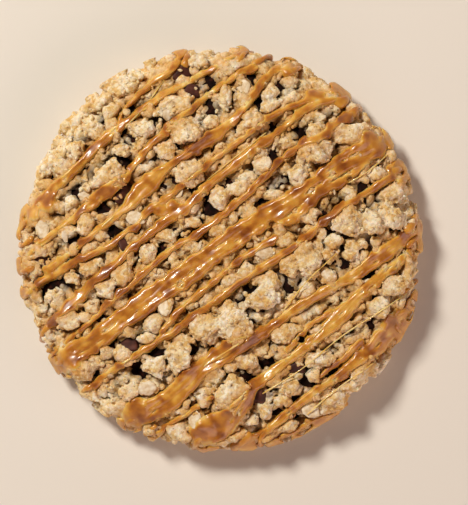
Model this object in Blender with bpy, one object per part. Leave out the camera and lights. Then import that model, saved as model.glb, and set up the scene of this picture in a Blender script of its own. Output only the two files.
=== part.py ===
"""A thick round oatmeal cookie heaped with oat crumble and drizzled with caramel, as one fused solid.

The dough is a flat-bottomed disc with crumb-sized bumps. The larger crumble nuggets, oat flakes and
chocolate chips stand on it, the drizzle is draped over them, and one Boolean union joins everything.
Lengths here are millimetres, times MM where they go to Blender. +Z is up, and the underside is z = 0.
"""
import math
import random

import bmesh
import bpy
from mathutils import Matrix, Vector, noise
from mathutils.bvhtree import BVHTree

MM = 0.001

MOST_TRIANGLES = 11600
WELD = 0.01
CEILING = 50.0

# Dough disc
DOUGH_RADIUS = 49.8
DOUGH_HEIGHT = 15.5
DOUGH_SQUARENESS = 5.0
UNDERSIDE_RADIUS = 46.0
WIDEST_AT = 5.5
WALL_SHARE = 0.14
DOUGH_DETAIL = 5
UNDERSIDE_CORNERS = 24
UNDERSIDE_ROUGHNESS = 0.05

# Fine crumble, too small to stand on its own, as bumps in the dough
BUMP_SPACING = 5.2
BUMP_HEIGHT = 3.4
BUMP_MIDDLE = 0.45

# The large nuggets
NUGGET_SCALE = 1.22
NUGGET_FLATNESS = 0.85
NUGGET_PROUD = 0.34
LUMP_ROUGHNESS = 0.13
LUMP_TILT = 0.25
SEED = 7

# Lumps set into the side wall
RIM_LUMPS = 30
RIM_LUMP_STRAY = 0.3
RIM_LUMP_LENGTH = (5.5, 8.0)
RIM_LUMP_DEPTH = 5.0
RIM_LUMP_RADIUS = 48.2
RIM_LUMP_HEIGHTS = (6.0, 11.0)

# Oat flakes and chocolate chips
FLAKE_SIZE = (4.6, 3.6, 1.0)
CHIP_SIZE = (4.8, 3.8, 3.4)

# Drizzle
DRIZZLE_SIDES = 5
DRIZZLE_SPACING = 3.6
DRIZZLE_FLATNESS = 0.62
DRIZZLE_BED = 0.18
DRIZZLE_REACH = 0.3
DRIZZLE_SAG = 0.25
DRIZZLE_SMOOTHINGS = 3
THINNEST_DRIZZLE = 1.6
DRIP_START = 48.0
DRIP_HEIGHT = 14.0
DRIP_SLOPE = 1.8

# Large nuggets: x, y, length, width, turn in degrees
LARGE_NUGGETS = (
    (4, -19.5, 9, 8.5, 0), (-8.5, 30.5, 8.5, 8, 0), (-26, 42, 9, 7, 10), (-3.5, -20, 8, 7.5, 90),
    (2.5, -37.5, 8, 7.5, 90), (24.5, 25.5, 9, 6.5, 0), (-12, 36.5, 11, 5.5, 20), (33, 30, 11, 5.5, 8),
    (22.5, -2.5, 8.5, 7, 90), (-28, 19, 9, 6.5, 12), (-10.5, -27.5, 7.5, 7, 90), (11, -12.5, 8.5, 6, 10),
    (-7.5, 20, 7, 6.5, 0), (44, 8.5, 7, 6.5, 0), (32.5, 7.5, 7, 6.5, 0), (-35.5, -30.5, 7.5, 5.5, 10),
    (29, -39.5, 7.5, 5.5, 25), (39, 7, 6.5, 6, 90), (-24.5, -7, 6.5, 6, 0), (-38.5, -18, 7, 5.5, 0),
    (-46, 0, 8.5, 4.5, 10), (44.5, -9.5, 7.5, 5, 0), (22, 9, 7, 5, 0), (-29.5, -40.5, 7, 5, -20),
    (16, -21, 7.5, 4.5, 15), (41, -15, 6, 5.5, 0), (-20, 31, 7, 4.5, 0), (0, 13.5, 6.5, 5, 0),
    (8.5, 33, 5.5, 5.5, 0), (43.5, 14, 7.5, 4, 0), (-29, -10, 6, 5, 0), (26, -28, 7.5, 4, 0),
    (18.5, 47, 6.5, 4.5, 0), (-2, -32.5, 7, 4, 20), (25, 30, 5.5, 5, 0), (-7.5, 49, 6, 4.5, 0),
    (-17, -30, 6, 4.5, 0), (7, -28.5, 5.5, 5, 0), (33.5, -35, 7.5, 3.5, 15), (20.5, -45.5, 7.5, 3.5, 20),
    (5, 15.5, 6.5, 4, 0), (-38, 32, 5, 5, 0), (-37, 25.5, 5, 5, 0), (18, -4, 5, 5, 0),
    (-40, 21, 5.5, 4.5, -20), (-13.5, 25, 5.5, 4.5, 0), (-34.5, 6.5, 5.5, 4.5, 90), (32, 37.5, 7, 3.5, 0),
    (20, 19.5, 5.5, 4.5, 0), (-42.5, -12, 5.5, 4.5, 0), (-18.5, -1, 5.5, 4.5, 90), (-32, 30, 6.5, 4, 0),
    (42, -29, 6.5, 3.5, 70), (-28, 35.5, 5, 4.5, 0), (11, 21.5, 5, 4.5, 0), (-24.5, -27, 5, 4.5, 0),
    (-23.5, -36.5, 5, 4.5, 0), (-17.5, -19, 5, 4.5, 0), (13, -8, 5, 4.5, 0), (38.5, -30.5, 5, 4.5, 90),
    (-32.5, -4.5, 5.5, 4, 15), (-43.5, -22.5, 5.5, 4, -30), (7, -5.5, 5.5, 4, 20), (27.5, -7, 5.5, 4, 0),
    (18, -35.5, 5.5, 4, 0), (2, 47, 5, 4.5, 0), (40, 19.5, 6, 3.5, 15), (17.5, 2.5, 6, 3.5, 15),
)

# Oat flakes lying flat on top: x, y, turn in degrees
FLAKES = ((6, 41.5, 5), (-21.5, 8, 20), (-45.5, 5, 0), (11.5, -0.5, 30), (-14, -15, 75), (-5.5, 10.5, 0))

# Chocolate chips in the gaps: x, y, turn in degrees
CHIPS = (
    (-8, 40, 20), (-24, 14, 50), (20, -30, 10), (-46, -3.5, 80), (-23, -24.5, 30), (5, 8, 0), (22, 30, 40),
)

# The drizzle's strands, from upper right to lower left: x, y, width along each route
STRANDS = {
    "1": ((-9.5, 50, 2.4), (-17.5, 43, 1.8), (-26, 32.5, 1.6)),
    "2": (
        (5.5, 50.5, 1.8), (-5.5, 44.5, 1.6), (-24.5, 32.5, 2),
        (-36.5, 21, 2.4), (-48.5, 9.5, 3.6), (-51, 3.5, 1.8),
    ),
    "3": (
        (9.5, 47.5, 2), (-9, 34.5, 1.6), (-18, 26.5, 1.8),
        (-28.5, 15, 3.4), (-46.5, 1, 2), (-51.5, -4.5, 2),
    ),
    "4": (
        (19, 49, 2.4), (5.5, 35.5, 2), (-12, 22, 2.6),
        (-19, 16, 4.4), (-26, 9, 2.6), (-44.5, -5.5, 2.4),
    ),
    "5": (
        (32, 41, 2.4), (14, 34.5, 1.6), (-8, 17.5, 1.6),
        (-18, 10, 1.8), (-34.5, -2, 2), (-50.5, -11.5, 2),
    ),
    "6": (
        (32, 39, 2.6), (16, 31, 2), (0.5, 19, 2),
        (-20.5, 2, 2), (-39.5, -15.5, 2.8), (-45.5, -21, 2),
    ),
    "7": ((34.5, 35.5, 2.4), (18, 25, 1.8), (-3, 6, 1.8), (-26, -12, 1.6), (-41.5, -25.5, 1.6)),
    "8": (
        (43, 28, 5.6), (31, 21.5, 4.2), (11, 8.5, 5.2),
        (-10, -6, 5.2), (-30.5, -22.5, 4.2), (-43, -29.5, 5.2),
    ),
    "9": ((38, 22.5, 2), (24.5, 13.5, 2.8), (6, -2, 1.8), (-14.5, -21, 1.6)),
    "10": ((47, 21.5, 3), (29, 9, 1.8), (6.5, -7.5, 2), (-15.5, -23.5, 1.8), (-32.5, -35, 1.8)),
    "12": (
        (51.5, 6, 2.6), (33.5, -7, 2.6), (11, -21, 3),
        (-5, -31, 4.6), (-19.5, -42.5, 6), (-23, -45.5, 4.2),
    ),
    "13": (
        (52, 1.5, 2), (37.5, -10.5, 3.4), (19.5, -27, 2.6),
        (10, -34, 3.4), (-2, -46.5, 7), (-5, -49.5, 5.6),
    ),
    "15": ((48, -18.5, 3), (38.5, -26.5, 4.2), (20, -40, 2.4), (7, -50.5, 2.8)),
    "16": ((-2, -38, 1.6), (-9, -42.5, 1.6), (-17.5, -48, 1.6)),
}


def clear_scene():
    for thing in list(bpy.data.objects):
        bpy.data.objects.remove(thing, do_unlink=True)


def new_collection(name):
    collection = bpy.data.collections.new(name)
    bpy.context.scene.collection.children.link(collection)
    return collection


def add_object(name, data, collection):
    thing = bpy.data.objects.new(name, data)
    collection.objects.link(thing)
    return thing


def mesh_of(shape, name):
    """Turns a bmesh into a mesh and frees it."""
    mesh = bpy.data.meshes.new(name)
    shape.to_mesh(mesh)
    shape.free()
    return mesh


def baked_mesh(thing):
    """The object's shape with its modifiers or curve bevel turned into a plain mesh."""
    graph = bpy.context.evaluated_depsgraph_get()
    return bpy.data.meshes.new_from_object(thing.evaluated_get(graph))


def dough_height(radius):
    """Height of the bare dough at this distance from the centre, in millimetres."""
    inward = max(0.0, 1.0 - (min(radius, DOUGH_RADIUS) / DOUGH_RADIUS) ** DOUGH_SQUARENESS)
    return WIDEST_AT + (DOUGH_HEIGHT - WIDEST_AT) * math.sqrt(inward)


def dough_profile(share):
    """Radius and height of the dough, by share: 0 is the top middle, 1 the widest line, 2 the bottom middle."""
    if share <= 1.0:
        radius = DOUGH_RADIUS * math.sqrt(share)
        return radius, dough_height(radius)
    below = (share - 1.0) / WALL_SHARE
    if below <= 1.0:
        return DOUGH_RADIUS + (UNDERSIDE_RADIUS - DOUGH_RADIUS) * below ** 2, WIDEST_AT * (1.0 - below)
    return UNDERSIDE_RADIUS * math.sqrt((2.0 - share) / (1.0 - WALL_SHARE)), 0.0


def make_dough(collection):
    """A sphere's evenly spread faces drawn out into the disc, bumpy above and flat below."""
    dough = bmesh.new()
    bmesh.ops.create_icosphere(dough, subdivisions=DOUGH_DETAIL, radius=1.0)
    for corner in dough.verts:
        around = math.atan2(corner.co.y, corner.co.x)
        radius, height = dough_profile(1.0 - corner.co.z)
        place = Vector((radius * math.cos(around), radius * math.sin(around), height))
        if height > 0.0:
            to_bump = noise.voronoi(place / BUMP_SPACING)[0][0]
            outward = Vector((place.x / DOUGH_RADIUS, place.y / DOUGH_RADIUS, 1.0))
            place += outward * BUMP_HEIGHT * (BUMP_MIDDLE - to_bump) * min(1.0, height / WIDEST_AT)
        corner.co = place * MM
    flat = {face for face in dough.faces if all(corner.co.z == 0.0 for corner in face.verts)}
    between = [edge for edge in dough.edges if all(face in flat for face in edge.link_faces)]
    bmesh.ops.dissolve_edges(dough, edges=between, use_verts=True)
    return add_object("cookie", mesh_of(dough, "cookie"), collection)


def add_lump(name, place, size, turn, rng, collection):
    """A knobbly lump: a coarse sphere with each corner pushed in or out a little."""
    lump = bmesh.new()
    bmesh.ops.create_icosphere(lump, subdivisions=1, radius=0.5)
    for corner in lump.verts:
        corner.co *= 1.0 + rng.uniform(-LUMP_ROUGHNESS, LUMP_ROUGHNESS)
    scaled = Matrix.Diagonal((*[side * MM for side in size], 1.0))
    tilted = Matrix.Rotation(rng.uniform(-LUMP_TILT, LUMP_TILT), 4, "X")
    turned = Matrix.Rotation(math.radians(turn), 4, "Z")
    lump.transform(Matrix.Translation(Vector(place) * MM) @ turned @ tilted @ scaled)
    return add_object(name, mesh_of(lump, name), collection)


def add_large_nuggets(rng, collection):
    for x, y, length, width, turn in LARGE_NUGGETS:
        size = [NUGGET_SCALE * side for side in (length, width, NUGGET_FLATNESS * width)]
        height = dough_height(math.hypot(x, y)) + NUGGET_PROUD * size[2]
        add_lump("nugget", (x, y, height), size, turn, rng, collection)


def add_rim_lumps(rng, collection):
    """The rough side: lumps set into the wall all the way round."""
    for number in range(RIM_LUMPS):
        around = 2.0 * math.pi * (number + rng.uniform(-RIM_LUMP_STRAY, RIM_LUMP_STRAY)) / RIM_LUMPS
        length = rng.uniform(*RIM_LUMP_LENGTH)
        height = rng.uniform(*RIM_LUMP_HEIGHTS)
        place = (RIM_LUMP_RADIUS * math.cos(around), RIM_LUMP_RADIUS * math.sin(around), height)
        add_lump("rim_lump", place, (RIM_LUMP_DEPTH, length, length), math.degrees(around), rng, collection)


def add_chips(rng, collection):
    """Chocolate chips half sunk in the dough, low in the gaps."""
    for x, y, turn in CHIPS:
        add_lump("chip", (x, y, dough_height(math.hypot(x, y))), CHIP_SIZE, turn, rng, collection)


def add_flakes(surface, rng, collection):
    """Whole oat flakes, flat and oval, lying on the crumble."""
    for x, y, turn in FLAKES:
        add_lump("flake", (x, y, height_under(surface, x, y)), FLAKE_SIZE, turn, rng, collection)


def surface_of(things):
    """One search tree over these objects, for dropping things onto them."""
    joined = bmesh.new()
    for thing in things:
        joined.from_mesh(thing.data)
    tree = BVHTree.FromBMesh(joined)
    joined.free()
    return tree


def height_under(surface, x, y):
    """Height in millimetres where a thing dropped at x, y comes to lie."""
    spot = surface.ray_cast(Vector((x, y, CEILING)) * MM, Vector((0.0, 0.0, -1.0)))[0]
    return WIDEST_AT if spot is None else spot.z / MM


def route_through(points):
    """Points every few millimetres along a smooth curve through the given x, y, width."""
    points = [Vector(point) for point in points]
    ends = [2 * points[0] - points[1], *points, 2 * points[-1] - points[-2]]
    route = []
    for before, start, end, after in zip(ends, ends[1:], ends[2:], ends[3:]):
        count = max(1, round((end.xy - start.xy).length / DRIZZLE_SPACING))
        for step in range(count):
            t = step / count
            bow = 2 * before - 5 * start + 4 * end - after
            twist = 3 * start - before - 3 * end + after
            route.append(start + 0.5 * t * (end - before + bow * t + twist * t * t))
    return [*route, points[-1]]


def draped_heights(route, surface):
    """Drizzle bridges small gaps with a little sag, and runs down the side once it is past the rim."""
    heights = []
    for x, y, width in route:
        reach = DRIZZLE_REACH * width
        spots = ((x, y), (x + reach, y - reach), (x - reach, y + reach))
        heights.append(max(height_under(surface, *spot) for spot in spots))
    for smoothing in range(DRIZZLE_SMOOTHINGS):
        for i in range(1, len(heights) - 1):
            bridge = 0.5 * (heights[i - 1] + heights[i + 1])
            heights[i] = max(0.5 * (heights[i] + bridge), bridge - DRIZZLE_SAG)
    for i, (x, y, width) in enumerate(route):
        past_rim = math.hypot(x, y) - DRIP_START
        if past_rim > 0.0:
            heights[i] = min(heights[i], DRIP_HEIGHT - DRIP_SLOPE * past_rim)
    return heights


def drizzle_section(collection):
    """The drizzle's flattened cross-section, one millimetre in radius before each point scales it."""
    curve = bpy.data.curves.new("drizzle_section", "CURVE")
    ring = curve.splines.new("POLY")
    ring.points.add(DRIZZLE_SIDES - 1)
    ring.use_cyclic_u = True
    for number, point in enumerate(ring.points):
        around = 2.0 * math.pi * (number / DRIZZLE_SIDES + 0.25)
        point.co = (math.cos(around) * MM, DRIZZLE_FLATNESS * math.sin(around) * MM, 0.0, 1.0)
    return add_object("drizzle_section", curve, collection)


def add_strand(name, points, surface, section, collection):
    route = route_through(points)
    curve = bpy.data.curves.new(name, "CURVE")
    curve.dimensions = "3D"
    curve.twist_mode = "Z_UP"
    curve.bevel_mode = "OBJECT"
    curve.bevel_object = section
    curve.use_fill_caps = True
    line = curve.splines.new("POLY")
    line.points.add(len(route) - 1)
    for point, (x, y, width), height in zip(line.points, route, draped_heights(route, surface)):
        width = max(width, THINNEST_DRIZZLE)
        point.co = (x * MM, y * MM, (height + DRIZZLE_BED * width) * MM, 1.0)
        point.radius = 0.5 * width
    guide = add_object(name, curve, collection)
    tube = bmesh.new()
    tube.from_mesh(baked_mesh(guide))
    bmesh.ops.remove_doubles(tube, verts=tube.verts, dist=WELD * MM)
    bmesh.ops.recalc_face_normals(tube, faces=tube.faces)
    bpy.data.objects.remove(guide, do_unlink=True)
    return add_object(name, mesh_of(tube, name), collection)


def add_drizzle(surface, collection):
    section = drizzle_section(collection)
    for name, points in STRANDS.items():
        add_strand("strand_" + name, points, surface, section, collection)
    bpy.data.objects.remove(section, do_unlink=True)


def fuse(body, toppings):
    """Joins the toppings to the body by one union, then removes them."""
    union = body.modifiers.new("fused", "BOOLEAN")
    union.operation = "UNION"
    union.operand_type = "COLLECTION"
    union.collection = toppings
    union.solver = "MANIFOLD"
    body.data = baked_mesh(body)
    body.modifiers.clear()
    for thing in list(toppings.objects):
        bpy.data.objects.remove(thing, do_unlink=True)
    bpy.data.collections.remove(toppings)


def thin_out(body):
    """Collapses the slivers that the union leaves along its seams."""
    triangles = sum(len(face.vertices) - 2 for face in body.data.polygons)
    collapse = body.modifiers.new("slivers_out", "DECIMATE")
    collapse.ratio = MOST_TRIANGLES / triangles
    body.data = baked_mesh(body)
    body.modifiers.clear()


def keep_largest_body(mesh):
    """Drops loose scraps and the walls of sealed hollows, so that one closed body is left."""
    shape = bmesh.new()
    shape.from_mesh(mesh)
    unseen = set(shape.faces)
    bodies = []
    while unseen:
        body = []
        waiting = [unseen.pop()]
        while waiting:
            face = waiting.pop()
            body.append(face)
            neighbours = {other for edge in face.edges for other in edge.link_faces} & unseen
            unseen -= neighbours
            waiting.extend(neighbours)
        bodies.append(body)
    bodies.sort(key=len)
    scraps = [face for body in bodies[:-1] for face in body]
    bmesh.ops.delete(shape, geom=scraps, context="FACES")
    bmesh.ops.triangulate(shape, faces=shape.faces)
    shape.to_mesh(mesh)
    shape.free()


def level_underside(mesh):
    """Makes the underside one plane with evenly spaced corners, so that the cookie stands still on it."""
    shape = bmesh.new()
    shape.from_mesh(mesh)
    limit = UNDERSIDE_ROUGHNESS * MM
    underside = [face for face in shape.faces if all(corner.co.z < limit for corner in face.verts)]
    bmesh.ops.delete(shape, geom=underside, context="FACES")
    ring = [corner for corner in shape.verts if corner.is_boundary]
    sector = 2.0 * math.pi / UNDERSIDE_CORNERS
    for corner in ring:
        around = sector * round(math.atan2(corner.co.y, corner.co.x) / sector)
        corner.co = Vector((math.cos(around), math.sin(around), 0.0)) * UNDERSIDE_RADIUS * MM
    bmesh.ops.remove_doubles(shape, verts=ring, dist=WELD * MM)
    bmesh.ops.holes_fill(shape, edges=[edge for edge in shape.edges if edge.is_boundary])
    bmesh.ops.triangulate(shape, faces=shape.faces)
    shape.to_mesh(mesh)
    shape.free()


def baked_crumb():
    material = bpy.data.materials.new("baked_oat_crumb")
    material.use_nodes = True
    shader = material.node_tree.nodes["Principled BSDF"]
    shader.inputs["Base Color"].default_value = (0.60, 0.38, 0.18, 1.0)
    shader.inputs["Roughness"].default_value = 0.85
    shader.inputs["Metallic"].default_value = 0.0
    return material


def main():
    clear_scene()
    rng = random.Random(SEED)
    cookie = make_dough(new_collection("oatmeal_cookie"))
    toppings = new_collection("toppings")
    add_large_nuggets(rng, toppings)
    add_rim_lumps(rng, toppings)
    add_chips(rng, toppings)
    add_flakes(surface_of([cookie, *toppings.objects]), rng, toppings)
    add_drizzle(surface_of([cookie, *toppings.objects]), toppings)
    fuse(cookie, toppings)
    keep_largest_body(cookie.data)
    thin_out(cookie)
    level_underside(cookie.data)
    cookie.data.materials.clear()
    cookie.data.materials.append(baked_crumb())


main()
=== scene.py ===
"""An oatmeal cookie heaped with oat crumble and draped with caramel, baked and finished by mesh code.

The crumble is laid first, piece by piece. The caramel is then poured: a skin is stretched over the crumble
along the strands' routes, sags into the gaps, and gets its thickness from how far each point lies from the
strand's edge. Lengths are millimetres, times MM where they go to Blender. +Z is up, and the cookie rests on
z = 0.
"""

import math
import random

import bmesh
import bpy
import numpy as np
from mathutils import Matrix, Vector, noise
from mathutils.bvhtree import BVHTree

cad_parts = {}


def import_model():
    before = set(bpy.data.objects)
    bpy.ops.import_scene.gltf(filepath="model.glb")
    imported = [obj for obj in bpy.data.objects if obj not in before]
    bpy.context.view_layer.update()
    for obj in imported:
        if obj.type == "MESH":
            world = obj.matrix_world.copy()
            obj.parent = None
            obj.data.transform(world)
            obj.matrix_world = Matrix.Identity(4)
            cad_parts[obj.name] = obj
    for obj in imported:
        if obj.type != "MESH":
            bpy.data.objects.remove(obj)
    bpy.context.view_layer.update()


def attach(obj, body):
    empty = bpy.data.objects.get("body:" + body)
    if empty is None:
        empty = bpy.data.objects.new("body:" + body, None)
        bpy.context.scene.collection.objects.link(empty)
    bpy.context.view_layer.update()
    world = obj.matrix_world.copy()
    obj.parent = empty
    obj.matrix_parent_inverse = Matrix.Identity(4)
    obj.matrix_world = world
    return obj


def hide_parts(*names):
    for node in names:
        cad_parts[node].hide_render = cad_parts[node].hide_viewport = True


MM = 0.001
SEED = 11
FULL_TURN = 2.0 * math.pi
QUARTER_TURN = 0.5 * math.pi
GOLDEN_SHARE = 0.618034
GOLDEN_ANGLE = 2.399963
SAMPLE_REACH = 500.0
TINY = 1e-12

# Dough disc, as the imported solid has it, with bumps on it and knobs on the bumps
DOUGH_RADIUS = 49.8
DOUGH_HEIGHT = 15.5
DOUGH_SQUARENESS = 5.0
UNDERSIDE_RADIUS = 46.0
WIDEST_AT = 5.5
WALL_SHARE = 0.14
DOUGH_DETAIL = 7
BUMP_SPACING = 5.2
BUMP_HEIGHT = 3.4
BUMP_MIDDLE = 0.45
BUMPS_FULL_AT = 2.5
KNOB_SPACING = 2.3
KNOB_HEIGHT = 0.85
KNOBS_ON_DOUGH = 0.6
KNOBS_UPRIGHT_ABOVE = 1.6 * WIDEST_AT

# Chocolate layer, near black so that it also paints the shade in the gaps: it rises in the gaps, and lies
# under the dough's skin elsewhere
BED_RADIUS = 48.0
BED_DETAIL = 5
BED_RISE = 0.2
BED_SUNK = -1.2
BED_FOOT = -3.5
BED_SPREAD = 1.9

# Crumble nuggets: broken blocks with granules pressed all over them
NUGGET_SCALE = 1.08
NUGGET_FLATNESS = 0.85
NUGGET_TILT = 0.25
NUGGET_CORE = 0.93
LARGE_PROUD = 0.34
MEDIUM_PROUD = 0.24
BLOCK_FACES = 9
BLOCK_NEAREST = 0.7
BLOCK_FARTHEST = 1.04
BLOCK_SHARPNESS = 12.0
LUMP_WARP = 0.36
GRANULE_SHAPES = 24
GRANULE_RADIUS = (0.3, 1.1)
GRANULE_SPACING = 1.3
GRANULE_SEAT = 0.62
GRANULES_ABOVE = -0.55

# Small nuggets that fill in between the named ones, a carpet of loose granules, and the side wall
FILL_SIZE = (1.3, 3.9)
FILL_COUNT = 1050
FILL_TRIES = 16000
FILL_REACH = 50.9
FILL_FLATNESS = 0.8
FILL_DEPTH = (-1.1, 1.1)
FILL_OVER_GAP = 0.32
FILL_ROOM = 0.68
NAMED_ROOM = 0.3
CARPET_GRANULES = 5200
CARPET_REACH = 50.3
CARPET_RADIUS = (0.5, 1.3)
CARPET_DEPTH = (-0.7, 1.1)
CARPET_OFF_GAP = 0.8
WALL_LUMPS = 250
WALL_LUMP_LENGTH = (3.2, 7.0)
WALL_LUMP_RADIUS = 51.2
WALL_LUMP_HEIGHTS = (1.2, 12.0)
WALL_LUMP_SHARES = (0.7, 1.0, 0.75)
WALL_BULGE = 0.03
WALL_INSETS = (0.0, 1.6)

# The skin over each heap: grain, scars, how far it may reach, and what is buried enough to leave out
GRAIN_SPACING = 0.75
GRAIN_HEIGHT = 0.2
SCAR_SPACING = 1.9
SCAR_HEIGHT = 0.28
LOWEST = 0.1
HEAP_REACH = 52.4
HEAP_OVERHANG = 0.2
BURIED = -0.45
CREASE_REACH = 4
CREASE_DEPTH = 0.55

# How finely each heap is fused, and the triangles that it is then thinned out to
LARGE_SKIN = (0.3, 155000)
MEDIUM_SKIN = (0.32, 68000)
FILL_SKIN = (0.34, 170000)
CARPET_SKIN = (0.38, 110000)
WALL_SKIN = (0.42, 72000)
DRIP_SKIN = (0.3, 26000)

# Crumb that lies low over the dough is darkened, for chocolate soaking in and painted shade together, and the
# crumb is darker near the cookie's foot too
SOAK_SHADE_TOP = 1.3
SOAK_SHADE_DEPTH = 1.7
SOAK_AND_SHADE = 0.95
SOAK_SHADE_REACH = 47.5
SOAK_SHADE_EDGE = 2.0
FOOT_TOP = 2.6
FOOT_DEPTH = 2.4
FOOT_SOAK = 0.45

# Loose bits
FLAKE_SIZE = (4.6, 3.6, 0.7)
FLAKE_GROOVE = (0.35, 0.14)
FLAKE_NICKS = ((0.24, 1.6), (0.12, 4.0))
FLAKE_LIFT = 0.1
FLAKE_BOW = 0.06
FLAKE_CURL = (-0.05, 0.09)
FLAKE_LEAN = 0.55
FLAKE_PIECES = 44
FLAKE_SHARES = (0.4, 0.75)
FLAKE_SPLITS = (1.0, 0.6, 0.35)
CHIP_SIZE = (5.2, 4.2, 1.9)
CHIP_SHARPNESS = 22.0
CHIP_TILT = 0.4
CHIP_RISE = 0.7
CRUMB_SIZE = (0.6, 1.5)
CRUMB_COUNT = 520
CRUMB_TILT = 0.3
CRUMB_OFF_GAP = 0.2
BITS_REACH = 49.0

# Caramel: the grid that it is worked out on, and its rivulets
POUR_GRID = 0.28
POUR_REACH = 54.0
POUR_MERGE = 0.3
OUTSIDE = -9.0
STAMP_STEP = 0.3
STAMP_MARGIN = 2.0
STAMP_OFF_RIM = 0.7
STREAK_STEP = 100.0
POOL_HALF = 0.2
RIVULET = 2.2
RIVULET_MERGE = 0.14
RIVULET_OVERLAP = 1.15
RIVULET_SPREAD = 0.8
RIVULET_STRAY = 0.9
RIVULET_STEP = 0.31
RIVULET_RISE = 0.75
NARROWEST = 0.5
SWELLS = ((0.3, 5.0, 0.0), (0.14, 1.9, 4.0))
MEANDER = 0.45
MEANDER_LENGTH = 5.0

# How the sheet settles: its edge, its sag and its fall over the rim
EDGE_WOBBLE = 0.14
EDGE_WIDENED = 0.1
EDGE_DRAWN_IN = 0.2
NEAR_CARAMEL = -1.8
POUR_SPREAD = 0.55
MOST_SPREAD = 1.4
SURROUNDINGS = 40
POUR_SETTLINGS = 320
POUR_SAG = 0.003
POUR_SINK = 0.05
POUR_SMOOTHING = 16
HANG_HEIGHT = 1.5
GLAZE_REACH = 1.5
RIM_START = 49.3
RIM_REACH = 52.9
RIM_WOBBLE = 0.3
SHEET_OFF_RIM = 0.4
RIM_LIFT = 2.0
RIM_DROP = 5.5
NO_LIMIT = 99.0

# The sheet's thickness, with fine streaks and broad ridges along its strands
CROWN = 0.45
THICKEST_HALF = 1.6
RIVULET_CROWN = 0.62
STREAKS = (0.55, 11.0, 0.0)
STREAK_CROWN = 0.1
STREAK_FADE = 0.8
RIDGES = (1.9, 13.0, 5.0)
RIDGE_CROWN = 0.22
RIDGE_DEEPEST = 1.2
HUG = 0.35
HUG_WIDTH = 0.5

# How deep the caramel's amber is: by what it fills, by its own thickness, lighter on raised streaks and
# ridges as a painted highlight, darker between them as painted shade, and a little paler all over
FILL_AMBER = 0.95
FILL_AT_RIM = 1.3
FILL_INSIDE = 3.7
RIM_FADE = 2.5
SHEET_AMBER = 0.26
STREAK_PAINTED_LIGHT = 0.1
RIDGE_PAINTED_LIGHT = 0.08
PALER = 0.07
AMBER_KNEE = 0.48
AMBER_ROOM = 0.24
DRIP_AMBER = 0.42
THREAD_AMBER = 0.06

# Drips over the rim, and threads
DRIP_FROM = 47.5
DRIP_START = 48.6
DRIP_OUT = 3.8
DRIP_DOWN = 3.6
DRIP_BEND = 4.5
DRIP_LENGTHS = (1.5, 6.5)
DRIP_WIDTHS = (1.5, 3.0)
DRIP_WIDENING = 1.1
DRIP_SLANT = 3.0
RIM_AROUND = 50.0
DRIP_LOWEST = 2.5
DRIP_STEPS = 26
THREAD_RADIUS = 0.24
THREAD_REACH = 50.0
THREAD_STEP = 0.8
THREAD_TAUTNESS = 60

# Camera, from the photograph's frame of 468 by 505 pixels
FRAME_HEIGHT = 129.6
FRAME_MIDDLE = (3.72, -0.77)
CAMERA_HEIGHT = 900.0

# Lamps: place and size in metres, watts and colour
KEY = ((-0.42, 0.45, 0.75), (0.18, 0.18), 8.7, "#FFF8EE")
REFLECTOR = ((0.5, -0.62, 0.36), (1.3, 0.5), 4.2, "#FFE0D8")

# The card under the cookie reaches this far each way
CARD_REACH = 2000

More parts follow.
